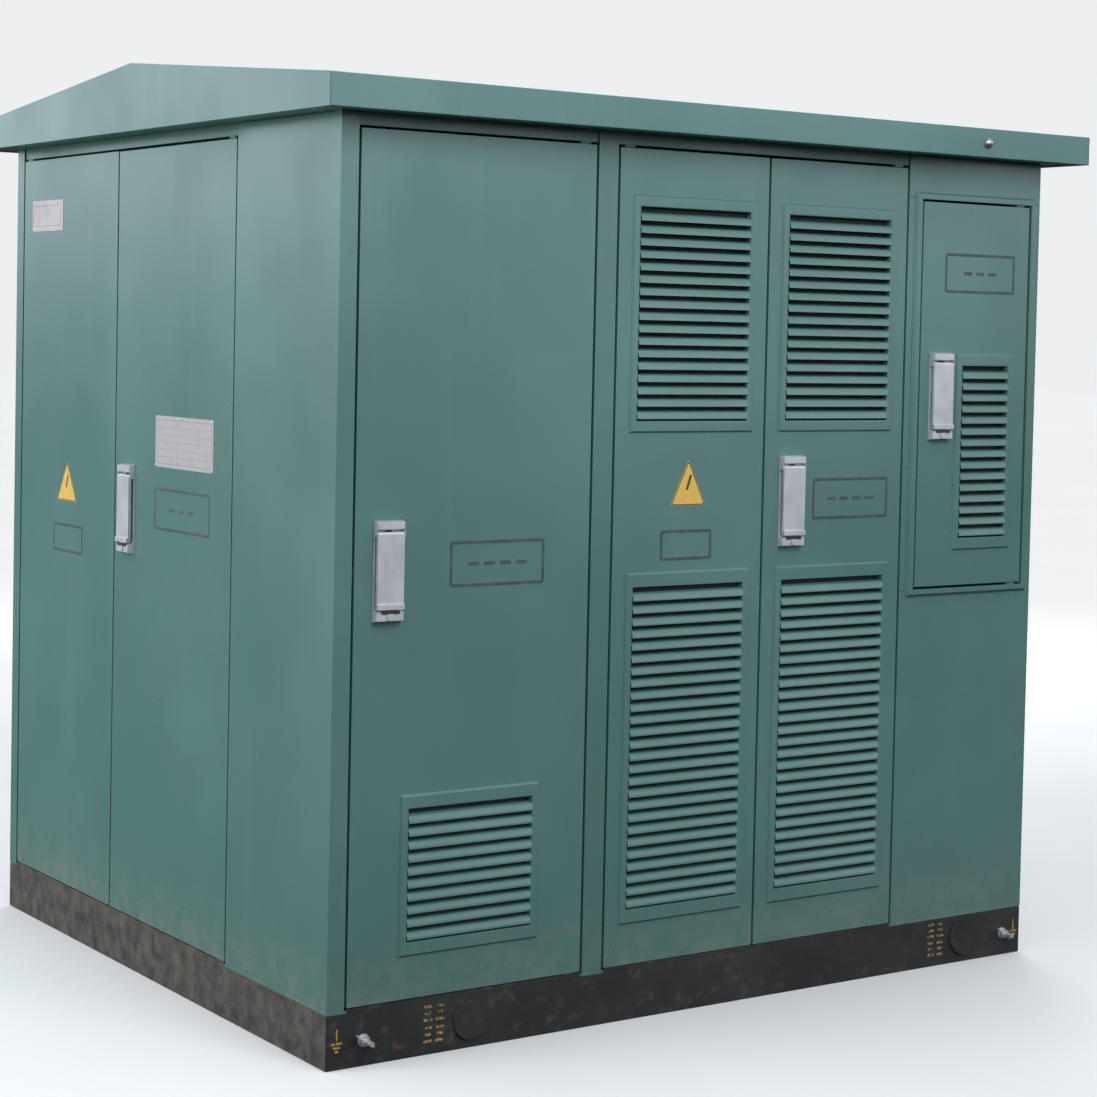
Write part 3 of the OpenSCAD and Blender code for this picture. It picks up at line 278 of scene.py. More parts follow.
def bakedEnamel(name, base, shade, roughness, peelMm=5, dust="#8c8878"):
    # Stoved enamel or powder on a smooth casing: even and semi gloss, with dust lying where it faces up.
    material, tree, shader, place = newFinish(name)
    cloud = noise(tree, place, 0.3, 3)
    colour = blendColour(tree, remap(tree, cloud, 0.38, 0.7), base, shade)
    facing = addNode(tree, "SeparateXYZ", {}, {0: addNode(tree, "TexCoord").outputs["Normal"]}).outputs[2]
    grit = noise(tree, place, 0.04, 6, 0.7)
    settled = times(tree, remap(tree, facing, 0.5, 1.0, 0, 0.55), remap(tree, grit, 0.3, 0.7, 0.4, 1))
    colour = blendColour(tree, settled, colour, dust)
    tree.links.new(colour, shader.inputs["Base Color"])
    tree.links.new(remap(tree, grit, 0.3, 0.7, roughness - 0.05, roughness + 0.09),
                   shader.inputs["Roughness"])
    bumps(tree, shader, [(noise(tree, place, peelMm * mm, 2), 0.10, 0.0005)])
    return material


def drawnCopper(name, base, tarnish):
    # Drawn copper bar or wire: warm metal with brown tarnish in streaks along it.
    material, tree, shader, place = newFinish(name)
    streak = noise(tree, place, 0.008, 4, 0.6, (12, 12, 1))
    colour = blendColour(tree, remap(tree, streak, 0.35, 0.72), base, tarnish)
    tree.links.new(colour, shader.inputs["Base Color"])
    shader.inputs["Metallic"].default_value = 1.0
    tree.links.new(remap(tree, streak, 0.3, 0.7, 0.25, 0.45), shader.inputs["Roughness"])
    bumps(tree, shader, [(streak, 0.08, 0.0003)])
    return material


def glazedPorcelain(name, base, pooled):
    # Brown glazed porcelain: very glossy, darker where the glaze pooled.
    material, tree, shader, place = newFinish(name)
    pool = noise(tree, place, 0.03, 4)
    colour = blendColour(tree, remap(tree, pool, 0.4, 0.65), base, pooled)
    tree.links.new(colour, shader.inputs["Base Color"])
    tree.links.new(remap(tree, pool, 0.3, 0.7, 0.10, 0.20), shader.inputs["Roughness"])
    shader.inputs["IOR"].default_value = 1.52
    shader.inputs["Coat Weight"].default_value = 0.5
    bumps(tree, shader, [(pool, 0.06, 0.001)])
    return material


def mouldedPlastic(name, base, shade, roughness, grainMm=0.9):
    # Injection moulded thermoplastic with a fine spark eroded grain, drawn coarser than its real 0.1 mm.
    material, tree, shader, place = newFinish(name)
    grain = noise(tree, place, grainMm * mm, 2)
    cloud = noise(tree, place, 0.05, 3)
    colour = blendColour(tree, remap(tree, cloud, 0.35, 0.7), base, shade)
    tree.links.new(colour, shader.inputs["Base Color"])
    tree.links.new(remap(tree, cloud, 0.3, 0.7, roughness - 0.05, roughness + 0.06),
                   shader.inputs["Roughness"])
    shader.inputs["IOR"].default_value = 1.48
    bumps(tree, shader, [(grain, 0.14, 0.0003)])
    return material


def printedFilm(name, ink, faded, roughness=0.4, wear=0.0, wearColour="#4f7a75"):
    # Screen printed vinyl film: flat ink with slight fading, worn through in specks where wear is above 0.
    material, tree, shader, place = newFinish(name)
    cloud = noise(tree, place, 0.03, 4)
    colour = blendColour(tree, remap(tree, cloud, 0.35, 0.7), ink, faded)
    if wear > 0:
        chip = noise(tree, place, 0.010, 6, 0.7)
        worn = remap(tree, chip, 0.60 - 0.25 * wear, 0.66 - 0.2 * wear)
        colour = blendColour(tree, worn, colour, wearColour)
    tree.links.new(colour, shader.inputs["Base Color"])
    tree.links.new(remap(tree, cloud, 0.3, 0.7, roughness - 0.06, roughness + 0.08),
                   shader.inputs["Roughness"])
    bumps(tree, shader, [(cloud, 0.05, 0.0003)])
    return material


def laminatedSteel(name):
    # Stacked silicon steel sheets, 0.3 mm each, drawn at 4 mm so that the layers show.
    material, tree, shader, place = newFinish(name)
    sheet = 0.004
    wave = {"wave_type": "BANDS", "bands_direction": "X", "Scale": 1 / (sheet * 3.14), "Distortion": 0.3}
    layers = addNode(tree, "TexWave", wave, {"Vector": place}).outputs["Fac"]
    tree.links.new(blendColour(tree, layers, "#3b3e42", "#55595e"), shader.inputs["Base Color"])
    shader.inputs["Metallic"].default_value = 0.8
    tree.links.new(remap(tree, layers, 0, 1, 0.4, 0.6), shader.inputs["Roughness"])
    bumps(tree, shader, [(layers, 0.3, 0.0004)])
    return material


def insectMesh(name):
    # Black woven fibre glass mesh behind the louvres, 2 mm openings drawn at 6 mm.
    material, tree, shader, place = newFinish(name)
    pitch = 0.006
    spread = addNode(tree, "VectorMath", {"operation": "MULTIPLY", 1: (1 / pitch,) * 3}, {0: place})
    cell = addNode(tree, "VectorMath", {"operation": "FRACTION"}, {0: spread.outputs[0]})
    axes = addNode(tree, "SeparateXYZ", {}, {0: cell.outputs[0]}).outputs
    wires = []
    for axis in (axes[0], axes[1], axes[2]):
        away = addNode(tree, "Math", {"operation": "SUBTRACT", 1: 0.5}, {0: axis}).outputs[0]
        wires.append(addNode(tree, "Math", {"operation": "ABSOLUTE"}, {0: away}).outputs[0])
    weave = addNode(tree, "Math", {"operation": "MAXIMUM"}, {0: wires[0], 1: wires[2]}).outputs[0]
    line = remap(tree, weave, 0.30, 0.44)
    tree.links.new(blendColour(tree, line, "#0c0f10", "#30383a"), shader.inputs["Base Color"])
    tree.links.new(remap(tree, line, 0, 1, 0.9, 0.6), shader.inputs["Roughness"])
    bumps(tree, shader, [(line, 0.6, 0.0006)])
    return material


greenCoat = powderCoat("seaGreenPowderCoatedSteel", greenLook)
frameCoat = powderCoat("greenPowderCoatedTube",
                       dict(greenLook, fresh="#567e79", sunned="#5e8681", deep="#4f756f", roughness=0.30))
roofCoat = powderCoat("sunChalkedPowderCoatedRoof", dict(greenLook, roughness=0.46, uneven=0.015, sag=0.05))
blackCoat = bitumenPaint("blackBitumenPaintedChannel", baseLook)
chrome = satinChrome("satinChromePlatedZincCasting", chromeLook)
zinc = galvanisedSteel("zincPlatedSteel", zincLook)
brightZinc = galvanisedSteel("brightZincPlatedFastener",
                             dict(zincLook, metal="#d2d5d8", spangle="#c2c6c9", stain="#a9a69e",
                                  metallic=0.45, roughness=0.34))
tankEnamel = bakedEnamel("greyStovedTankEnamel", "#7c8484", "#6d7576", 0.38)
cabinetEnamel = bakedEnamel("paleGreyPowderCoatedCabinet", "#c4c8c5", "#b6bbb9", 0.42)
coreSteel = laminatedSteel("siliconSteelLaminations")
copper = drawnCopper("drawnCopperBar", "#c47a55", "#7c4a33")
porcelain = glazedPorcelain("brownGlazedPorcelain", "#6d3c28", "#3f1f14")
blackPlastic = mouldedPlastic("blackMouldedPolyamide", "#26282a", "#303336", 0.45)
meterPlastic = mouldedPlastic("paleGreyMouldedPolycarbonate", "#bfc2be", "#aeb2ae", 0.38)
rubber = mouldedPlastic("blackMouldedRubber", "#1c1d1e", "#292b2c", 0.7, 1.6)
meshCloth = insectMesh("blackWovenInsectMesh")
yellowFilm = printedFilm("yellowPrintedFilm", "#f0c862", "#e6bd5c", 0.36)
blackInk = printedFilm("blackPrintedInk", "#2c2d28", "#3c3a30", 0.45)
greyInk = printedFilm("darkGreyPrintedOutline", "#3c4c49", "#4b5d5a", 0.5)
plateFilm = printedFilm("palePrintedPlateFace", "#c3bfc1", "#b5b2b6", 0.32)
plateInk = printedFilm("greyPrintedPlateLines", "#8f8f95", "#9c9ca2", 0.4)
plateFrame = printedFilm("roseGreyPlateBorder", "#a9868a", "#9c7d82", 0.4)
wornYellow = printedFilm("wornYellowStencilPaint", "#bfa062", "#a78b58", 0.6, 0.55, "#33332f")
freshYellow = printedFilm("yellowStencilPaint", "#d3a945", "#c39a42", 0.55, 0.25, "#3a3830")
gripPlastic = mouldedPlastic("midGreyMouldedPolyamide", "#85898c", "#777b7e", 0.45)
# a smoked pane is as glossy as a glaze, so it is mixed the same way
smokedPane = glazedPorcelain("smokedPolycarbonatePane", "#14181a", "#1d2325")
displayGlass = mouldedPlastic("greyGreenDisplayWindow", "#6f7d68", "#65735f", 0.14, 2.0)
lensFinish = {
    "red": mouldedPlastic("redMouldedLens", "#a8281f", "#8f1f19", 0.22),
    "green": mouldedPlastic("greenMouldedLens", "#1f8048", "#196b3c", 0.22),
    "amber": mouldedPlastic("amberMouldedLens", "#d08a1e", "#bd7a18", 0.22),
}
sleeveFinish = {
    "yellow": mouldedPlastic("yellowHeatShrinkSleeve", "#d8b02c", "#c7a027", 0.42),
    "green": mouldedPlastic("greenHeatShrinkSleeve", "#2f7d4a", "#286e40", 0.42),
    "red": mouldedPlastic("redHeatShrinkSleeve", "#a8322a", "#962b24", 0.42),
    "blue": mouldedPlastic("blueHeatShrinkSleeve", "#5d8db3", "#527fa3", 0.42),
}

finishOfSlot = {
    "green_paint": greenCoat, "frame_paint": frameCoat, "base_black": blackCoat, "handle_metal": chrome,
    "zinc_steel": zinc, "bright_steel": brightZinc, "tank_paint": tankEnamel, "core_steel": coreSteel,
    "copper": copper, "porcelain": porcelain, "grey_paint": cabinetEnamel, "black_plastic": blackPlastic,
    "meter_plastic": meterPlastic, "cable_rubber": rubber,
}
print("finishes mixed:", len(bpy.data.materials))


def pieceName(node):
    # handle_plate_auto becomes handlePlateAuto
    words = node.split("_")
    return words[0] + "".join(w.capitalize() for w in words[1:])


def closePiece(name, bm, body, finish, smoothAngle=32, weighted=True):
    # turns a bmesh in the row frame into a piece that rides on a CAD body
    bmesh.ops.recalc_face_normals(bm, faces=bm.faces)
    mesh = bpy.data.meshes.new(name)
    bm.to_mesh(mesh)
    bm.free()
    piece = bpy.data.objects.new(name, mesh)
    bpy.context.scene.collection.objects.link(piece)
    mesh.materials.append(finish)
    for polygon in mesh.polygons:
        polygon.use_smooth = True
    mesh.set_sharp_from_angle(angle=math.radians(smoothAngle))
    if weighted:
        modifier = piece.modifiers.new("flatFaces", "WEIGHTED_NORMAL")
        modifier.keep_sharp = True
    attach(piece, body)
    return piece


def mergedCopy(node):
    # the CAD piece's faces with their corners joined again and its flat areas made one face each
    bm = bmesh.new()
    source = frame["nodes"][node].data
    corners = [bm.verts.new(v.co) for v in source.vertices]
    for polygon in source.polygons:
        try:
            bm.faces.new([corners[i] for i in polygon.vertices])
        except ValueError:
            # the same face is there already
            continue
    bmesh.ops.remove_doubles(bm, verts=bm.verts, dist=2e-5)
    bmesh.ops.dissolve_degenerate(bm, dist=1e-6, edges=bm.edges)
    bmesh.ops.dissolve_limit(bm, angle_limit=math.radians(0.5), verts=bm.verts, edges=bm.edges)
    return bm


def faceWidth(face):
    # about the narrow side of a face
    return 2 * face.calc_area() / max(face.calc_perimeter(), 1e-9)


easingLook = {"sharperThan": 40, "narrowest": 3.2, "shortest": 3.0, "segments": 2}


def easedPiece(node, radius, look, finish=None):
    # the CAD piece with its outer edges rounded, as a press brake or a deburring wheel leaves them
    bm = mergedCopy(node)
    sharp = math.radians(look["sharperThan"])
    chosen = []
    for edge in bm.edges:
        if len(edge.link_faces) != 2 or not edge.is_convex or edge.calc_face_angle(0) < sharp:
            continue
        narrow = min(faceWidth(f) for f in edge.link_faces)
        if narrow > look["narrowest"] * radius and edge.calc_length() > look["shortest"] * radius:
            chosen.append(edge)
    if chosen and radius > 0:
        bmesh.ops.bevel(bm, geom=chosen, offset=radius, segments=look["segments"], profile=0.5,
                        affect="EDGES", clamp_overlap=True)
    slot = slotOfNode[node]
    body = frame["nodes"][node]["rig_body"]
    piece = closePiece(pieceName(node), bm, body, finish or finishOfSlot[slot])
    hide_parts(node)
    return piece


# fold and edge radii in mm; a node that isn't listed takes the last one
edgeRadius = {
    "base_frame": 2.2, "roof_sheets": 2.4, "roof_gables": 0.6, "fixed_panels": 0.6, "meter_panel": 0.6,
    "meter_door_frame": 1.6, "frame_posts": 1.8, "frame_rails": 1.2, "room_partitions": 0.5,
    "door": 2.2, "handle_plate": 0.6, "handle_lever": 1.4, "latch_bolt": 0.8, "lifting_pin": 1.4,
    "panel_bolts": 0.5, "earth_terminals": 0.4, "transformer_tank": 1.6, "lv_switchboard": 1.6,
    "hv_switchgear": 1.6, "automation_cabinet": 2.0, "energy_meters": 2.2, "lv_breakers": 1.2,
    "hv_cables": 0.8, "": 0.8,
}

# nodes whose finish isn't the one of their material slot
paintedOver = {"hinge_pins": frameCoat, "roof_sheets": roofCoat}

for node in sorted(frame["nodes"]):
    if node.startswith("louvre"):
        continue
    key = next((k for k in edgeRadius if k and node.startswith(k)), "")
    easedPiece(node, edgeRadius[key] * mm, easingLook, paintedOver.get(node))
print("CAD pieces carried over with rounded edges")


louvreLook = {"border": 22, "slope": 5, "out": 6, "pitch": 30, "bladeOut": 9, "bladeHigh": 17.5,
              "thick": 1.6, "inside": 13, "top": 20.5, "steps": 8, "meshBack": 16, "meshLap": 8}


def islands(node):
    # the separate solids of a CAD node, each as a box in the row frame
    bm = mergedCopy(node)
    left, found = set(bm.verts), []
    while left:
        todo, group = [left.pop()], []
        while todo:
            vert = todo.pop()
            group.append(vert.co.copy())
            for edge in vert.link_edges:
                other = edge.other_vert(vert)
                if other in left:
                    left.remove(other)
                    todo.append(other)
        found.append((Vector([min(p[i] for p in group) for i in range(3)]),
                      Vector([max(p[i] for p in group) for i in range(3)])))
    bm.free()
    return sorted(found, key=lambda b: (round(b[0].z, 3), b[0].x))


def addRing(bm, place, loops, closed=True):
    # skins between loops of (x, z, out) points that have the same number of points
    rows = [[bm.verts.new(place @ Vector(p)) for p in loop] for loop in loops]
    for a, b in zip(rows, rows[1:]):
        count = len(a)
        for i in range(count if closed else count - 1):
            j = (i + 1) % count
            bm.faces.new((a[i], a[j], b[j], b[i]))
    return rows


def rectLoop(x0, z0, x1, z1, out):
    return [(x0, z0, out), (x1, z0, out), (x1, z1, out), (x0, z1, out)]


def insetRect(box, inset, out):
    x0, z0, x1, z1 = box
    return rectLoop(x0 + inset, z0 + inset, x1 - inset, z1 - inset, out)


def bladeSection(look):
    # the blade's closed outline as (out, up): from inside, behind the blade above, it curls out and down
    steps, out, high, thick = look["steps"], look["bladeOut"], look["bladeHigh"], look["thick"]
    outer = [(-look["inside"], look["top"]), (-2.0, high + 0.6), (0.4, high - 0.1)]
    for i in range(1, steps + 1):
        angle = math.pi / 2 * i / steps
        outer.append((out * math.sin(angle), (high - 0.1) * math.cos(angle)))
    lip = [(out - thick / 2, -0.5)]
    inner = []
    for i in range(steps, 0, -1):
        angle = math.pi / 2 * i / steps
        inner.append(((out - thick) * math.sin(angle), (high - thick) * math.cos(angle)))
    return outer + lip + inner + [(-1.0, high - thick), (-look["inside"], look["top"] - 2 * thick)]


def louvrePanel(bm, face, low, high, doorOut, look):
    # one pressed panel: a raised border with sloping sides, and its row of rolled blades
    place = facePlane(face)
    a, b = facePlaces(face, low, high)
    box = (a.x, a.y, b.x, b.y)
    height = (b.y - a.y) / mm
    count = math.floor((height - 60) / look["pitch"])
    first = (height - count * look["pitch"]) / 2
    border = look["border"] * mm
    inner = (a.x + border, a.y + (first - 4) * mm, b.x - border, b.y - (first - 4) * mm)
    out = doorOut + look["out"] * mm
    sunk = doorOut - 1.5 * mm
    loops = [insetRect(box, 0.0004, doorOut - 0.0008), insetRect(box, 0.0006, doorOut + 0.0004)]
    slope = look["slope"] * mm
    for share, rise in ((0.30, 0.30), (0.62, 0.68), (0.85, 0.90), (1.1, 1.0)):
        loops.append(insetRect(box, slope * share, doorOut + (out - doorOut) * rise))
    loops.append(insetRect(inner, -0.0040, out))
    loops.append(insetRect(inner, -0.0016, out - 0.0006))
    loops.append(insetRect(inner, -0.0004, out - 0.0020))
    loops.append(insetRect(inner, 0, sunk))
    rows = addRing(bm, place, loops)
    for i in range(4):
        bm.faces.new((rows[0][i], rows[0][(i + 1) % 4], rows[-1][(i + 1) % 4], rows[-1][i]))
    section = bladeSection(look)
    x0, x1 = inner[0] - 0.0006, inner[2] + 0.0006
    for i in range(count):
        foot = a.y + (first + i * look["pitch"] + 1) * mm
        rings = [[(x, foot + up * mm, doorOut + reach * mm) for reach, up in section] for x in (x0, x1)]
        rows = addRing(bm, place, rings)
        for row in rows:
            bm.faces.new(row)
    # cheeks that close the blades' ends
    for x in (inner[0], inner[2]):
        side = 1 if x == inner[0] else -1
        loop = [rectLoop(min(x, x - side * 0.0016), inner[1], max(x, x - side * 0.0016), inner[3], d)
                for d in (doorOut - look["inside"] * mm, sunk + 0.0004)]
        rows = addRing(bm, place, loop)
        for row in rows:
            bm.faces.new(row)
    return inner


def meshSheet(name, face, openings, doorOut, body, look):
    # woven mesh in a thin folded holder, a little behind the blades
    place = facePlane(face)
    bm = bmesh.new()
    for x0, z0, x1, z1 in openings:
        lap = look["meshLap"] * mm
        box = (x0 - lap, z0 - lap, x1 + lap, z1 + lap)
        back = doorOut - look["meshBack"] * mm
        loops = [insetRect(box, 0.0035, back + 0.0016), insetRect(box, 0.0020, back + 0.0024),
                 insetRect(box, 0, back + 0.0024), insetRect(box, 0, back - 0.0008)]
        rows = addRing(bm, place, loops)
        bm.faces.new(rows[0])
        bm.faces.new(rows[-1])
    return closePiece(name, bm, body, meshCloth)


louvreNodes = {"louvre_auto": "front", "louvre_tx_left": "front", "louvre_tx_right": "front",
               "louvre_meter": "front", "louvre_rear": "rear"}
for node, face in louvreNodes.items():
    bm = bmesh.new()
    openings = []
    for low, high in islands(node):
        a, b = facePlaces(face, low, high)
        doorOut = b.z - louvreLook["bladeOut"] * mm
        openings.append(louvrePanel(bm, face, low, high, doorOut, louvreLook))
    body = frame["nodes"][node]["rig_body"]
    piece = closePiece(pieceName(node), bm, body, greenCoat)
    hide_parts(node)
    meshSheet(pieceName(node) + "Mesh", face, openings, doorOut, body, louvreLook)
    print(node, len(openings), "louvre panels")


def softOutline(corners, trim, steps=4):
    # a closed outline of (x, z) points whose corners are rounded over trim metres
    found = []
    for i, corner in enumerate(corners):
        corner = Vector(corner)
        start = corner + (Vector(corners[i - 1]) - corner).normalized() * trim
        end = corner + (Vector(corners[(i + 1) % len(corners)]) - corner).normalized() * trim
        for step in range(steps + 1):
            u = step / steps
            found.append(start * (1 - u) ** 2 + corner * 2 * u * (1 - u) + end * u * u)
    return found


def insetCorners(corners, width):
    # the corners of the same shape, width metres inside its sides; they run anticlockwise
    found = []
    for i, corner in enumerate(corners):
        corner = Vector(corner)
        before = (corner - Vector(corners[i - 1])).normalized()
        after = (Vector(corners[(i + 1) % len(corners)]) - corner).normalized()
        a, b = Vector((-before.y, before.x)), Vector((-after.y, after.x))
        found.append(corner + (a + b) * (width / (1 + a.dot(b))))
    return found


def rectCorners(x0, z0, x1, z1):
    return [(x0 * mm, z0 * mm), (x1 * mm, z0 * mm), (x1 * mm, z1 * mm), (x0 * mm, z1 * mm)]


def circleLine(x, z, radius, steps=32):
    turns = [2 * math.pi * i / steps for i in range(steps)]
    return [Vector((x * mm + radius * mm * math.cos(t), z * mm + radius * mm * math.sin(t))) for t in turns]


def addSlab(bm, place, corners, out, thick, trim=0.0008, ease=0.0002, steps=4):
    # a flat plate standing thick metres off the level out, with soft corners and an eased front edge
    inner = insetCorners(corners, ease)
    loops = [[(p.x, p.y, out) for p in softOutline(corners, trim, steps)],
             [(p.x, p.y, out + thick - ease) for p in softOutline(corners, trim, steps)],
             [(p.x, p.y, out + thick) for p in softOutline(inner, trim, steps)]]
    rows = addRing(bm, place, loops)
    bm.faces.new(rows[0])
    bm.faces.new(rows[-1])


def addBand(bm, place, corners, width, out, thick, trim=0.002):
    # a flat line of that width that runs round inside a shape's sides
    outer = softOutline(corners, trim)
    inner = softOutline(insetCorners(corners, width), max(trim - width * 0.6, 0.0004))
    loops = [[(p.x, p.y, depth) for p in line]
             for line, depth in ((outer, out), (outer, out + thick), (inner, out + thick), (inner, out))]
    rows = addRing(bm, place, loops)
    for i in range(len(outer)):
        j = (i + 1) % len(outer)
        bm.faces.new((rows[-1][i], rows[-1][j], rows[0][j], rows[0][i]))


def addDome(bm, place, x, z, out, profile, steps=20):
    # a turned shape about an axis that points out of the face; the profile is (radius, rise) in mm
    loops = []
    for radius, rise in profile:
        loops.append([(p.x, p.y, out + rise * mm) for p in circleLine(x, z, radius, steps)])
    rows = addRing(bm, place, loops)
    bm.faces.new(rows[0])
    bm.faces.new(rows[-1])


def surfaceOut(face, node):
    # how far out of the face's zero level a CAD piece reaches
    return facePlaces(face, *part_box(node))[1].z


def flatPiece(name, body, finish, face, draw):
    # a piece drawn on one face: draw gets the mesh and the face's matrix
    bm = bmesh.new()
    draw(bm, facePlane(face))
    return closePiece(name, bm, body, finish)


# how far the back of a film lies inside the sheet that it is stuck on, in metres
tuck = 0.0001

# blank room labels, painted as an outline with one dash for each place of its name, in mm on each face
depth = (baseHigh.y - baseLow.y) / mm
labelLook = {"line": 7.5, "corner": 9, "film": 0.35, "dash": (30, 9)}
roomLabels = {
    "roomLabelAuto": ("front", "door_auto", (305, 1085, 569, 1192), 4),
    "roomLabelTransformer": ("front", "door_tx_right", (1395, 1214, 1651, 1320), 4),
    "roomLabelSmall": ("front", "door_tx_left", (911, 1125, 1070, 1200), 0),
    "roomLabelMeter": ("front", "door_meter", (1828, 1805, 2083, 1910), 3),
    "roomLabelLow": ("left", "door_side_a", (depth - 933, 1157, depth - 619, 1264), 3),
    "roomLabelLowSmall": ("left", "door_side_b", (depth - 1573, 1050, depth - 1376, 1128), 0),
    "roomLabelHigh": ("right", "door_hv_a", (619, 1157, 933, 1264), 3),
}


def roomLabel(name, face, node, box, dashes, look):
    out = surfaceOut(face, node) - tuck

    def draw(bm, place):
        addBand(bm, place, rectCorners(*box), look["line"] * mm, out, look["film"] * mm, look["corner"] * mm)
        wide, high = look["dash"]
        for i in range(dashes):
            x = box[0] + (box[2] - box[0]) * (0.5 + (i - (dashes - 1) / 2) * 0.17) - wide / 2
            z = (box[1] + box[3] - high) / 2
            addSlab(bm, place, rectCorners(x, z, x + wide, z + high), out, look["film"] * mm, 0.002)

    flatPiece(name, frame["nodes"][node]["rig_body"], greyInk, face, draw)


for name, (face, node, box, dashes) in roomLabels.items():
    roomLabel(name, face, node, box, dashes, labelLook)

# plain yellow triangles with a dark rim and a slanted bar
triangleLook = {"rim": 2.2, "film": 0.5, "corner": 7, "bar": ((4, 66), (11, 66), (-1, 34), (-8, 34))}
triangles = {
    "yellowTriangleTransformer": ("front", "door_tx_left", 994, 1260, 108, 113),
    "yellowTriangleLow": ("left", "door_side_b", depth - 1484, 1191, 131, 107),
    "yellowTriangleHigh": ("right", "door_hv_b", 1484, 1191, 131, 107),
}


def yellowTriangle(name, face, node, x, z, wide, high, look):
    out = surfaceOut(face, node) - tuck
    film = look["film"] * mm
    corners = [((x - wide / 2) * mm, z * mm), ((x + wide / 2) * mm, z * mm), (x * mm, (z + high) * mm)]
    body = frame["nodes"][node]["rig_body"]
    flatPiece(name, body, yellowFilm, face,
              lambda bm, place: addSlab(bm, place, corners, out, film, look["corner"] * mm))

    def drawRim(bm, place):
        inner = insetCorners(corners, 0.001)
        addBand(bm, place, inner, look["rim"] * mm, out + film, 0.00015, look["corner"] * mm)
        bar = [((x + dx) * mm, (z + dz * high / 100) * mm) for dx, dz in reversed(look["bar"])]
        addSlab(bm, place, bar, out + film, 0.00015, 0.0012, 0.00005)

    flatPiece(name + "Rim", body, blackInk, face, drawRim)


for name, (face, node, x, z, wide, high) in triangles.items():
    yellowTriangle(name, face, node, x, z, wide, high, triangleLook)

# blank printed plates: a face, a border or a form of ruled lines, and rivets
plateLook = {"film": 0.8, "corner": 4, "rivet": [(3.2, 0), (3.2, 0.5), (2.6, 1.2), (1.4, 1.7), (0.3, 1.9)]}
plates = {
    "ratingPlate": ("left", "door_side_a", (depth - 929, 1317, depth - 605, 1447), 6, 9),
    "roofPlate": ("left", "door_side_b", (depth - 1744, 1929, depth - 1534, 2014), 0, 14),
}


def blankPlate(name, face, node, box, rows, margin, look):
    out = surfaceOut(face, node) - tuck
    film = look["film"] * mm
    body = frame["nodes"][node]["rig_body"]
    flatPiece(name, body, plateFilm, face,
              lambda bm, place: addSlab(bm, place, rectCorners(*box), out, film, look["corner"] * mm))
    x0, z0, x1, z1 = box

    def drawForm(bm, place):
        inner = rectCorners(x0 + margin, z0 + margin, x1 - margin, z1 - margin)
        addBand(bm, place, inner, 0.0016, out + film, 0.00012, 0.001)
        for i in range(1, rows):
            z = z0 + margin + (z1 - z0 - 2 * margin) * i / rows
            addSlab(bm, place, rectCorners(x0 + margin, z - 0.5, x1 - margin, z + 0.5), out + film, 0.0001,
                    0.0003, 0.00003)
        if rows:
            x = x0 + (x1 - x0) * 0.38
            addSlab(bm, place, rectCorners(x - 0.5, z0 + margin, x + 0.5, z1 - margin), out + film, 0.00012,
                    0.0003, 0.00003)

    flatPiece(name + "Form", body, plateInk if rows else plateFrame, face, drawForm)

    def drawRivets(bm, place):
        for x in (x0 + 5, x1 - 5):
            for z in (z0 + 5, z1 - 5):
                addDome(bm, place, x, z, out + film, look["rivet"], 16)

    flatPiece(name + "Rivets", body, brightZinc, face, drawRivets)


for name, (face, node, box, rows, margin) in plates.items():
    blankPlate(name, face, node, box, rows, margin, plateLook)

# yellow stencil marks on the black base: four worn blocks of bars beside each front lifting pin, and an
# earth sign of one stem and three shrinking bars beside each earth stud
stencilLook = {"cell": (24, 38), "pitch": (33, 50), "bars": (24, 17, 21), "thick": 6.5, "film": 0.3}


def stencilMarks(look):
    def drawBlocks(bm, place):
        for left in (258, 1838):
            for column in range(2):
                for row in range(2):
                    x = left + column * look["pitch"][0]
                    z = 28 + row * look["pitch"][1]
                    for i, wide in enumerate(look["bars"]):
                        low = z + i * (look["cell"][1] - look["thick"]) / 2
                        start = x + (look["cell"][0] - wide) / 2
                        corners = rectCorners(start, low, start + wide, low + look["thick"])
                        addSlab(bm, place, corners, -tuck, look["film"] * mm, 0.0018, 0.0001)

    def drawEarth(bm, place):
        for x in (28, 2156):
            addSlab(bm, place, rectCorners(x - 2, 62, x + 2, 94), -tuck, look["film"] * mm, 0.001, 0.0001)
            for i, wide in enumerate((28, 18, 9)):
                z = 58 - i * 9
                corners = rectCorners(x - wide / 2, z, x + wide / 2, z + 5)
                addSlab(bm, place, corners, -tuck, look["film"] * mm, 0.001, 0.0001)

    flatPiece("stencilBlocks", "enclosure", wornYellow, "front", drawBlocks)
    flatPiece("earthSigns", "enclosure", freshYellow, "front", drawEarth)


stencilMarks(stencilLook)

# on each handle: a dark dust flap over the lock, and a ribbed grey grip strip near the top of the lever, in
# mm from the plate's middle and foot
handleLook = {"flap": (-24, 19, 24, 26), "flapSunk": 3.1, "strip": (-30, 185, 30, 196), "stripSunk": 6.1,
              "ribs": 7}
handles = {"auto": "front", "tx": "front", "meter": "front", "side": "left", "hv": "right"}


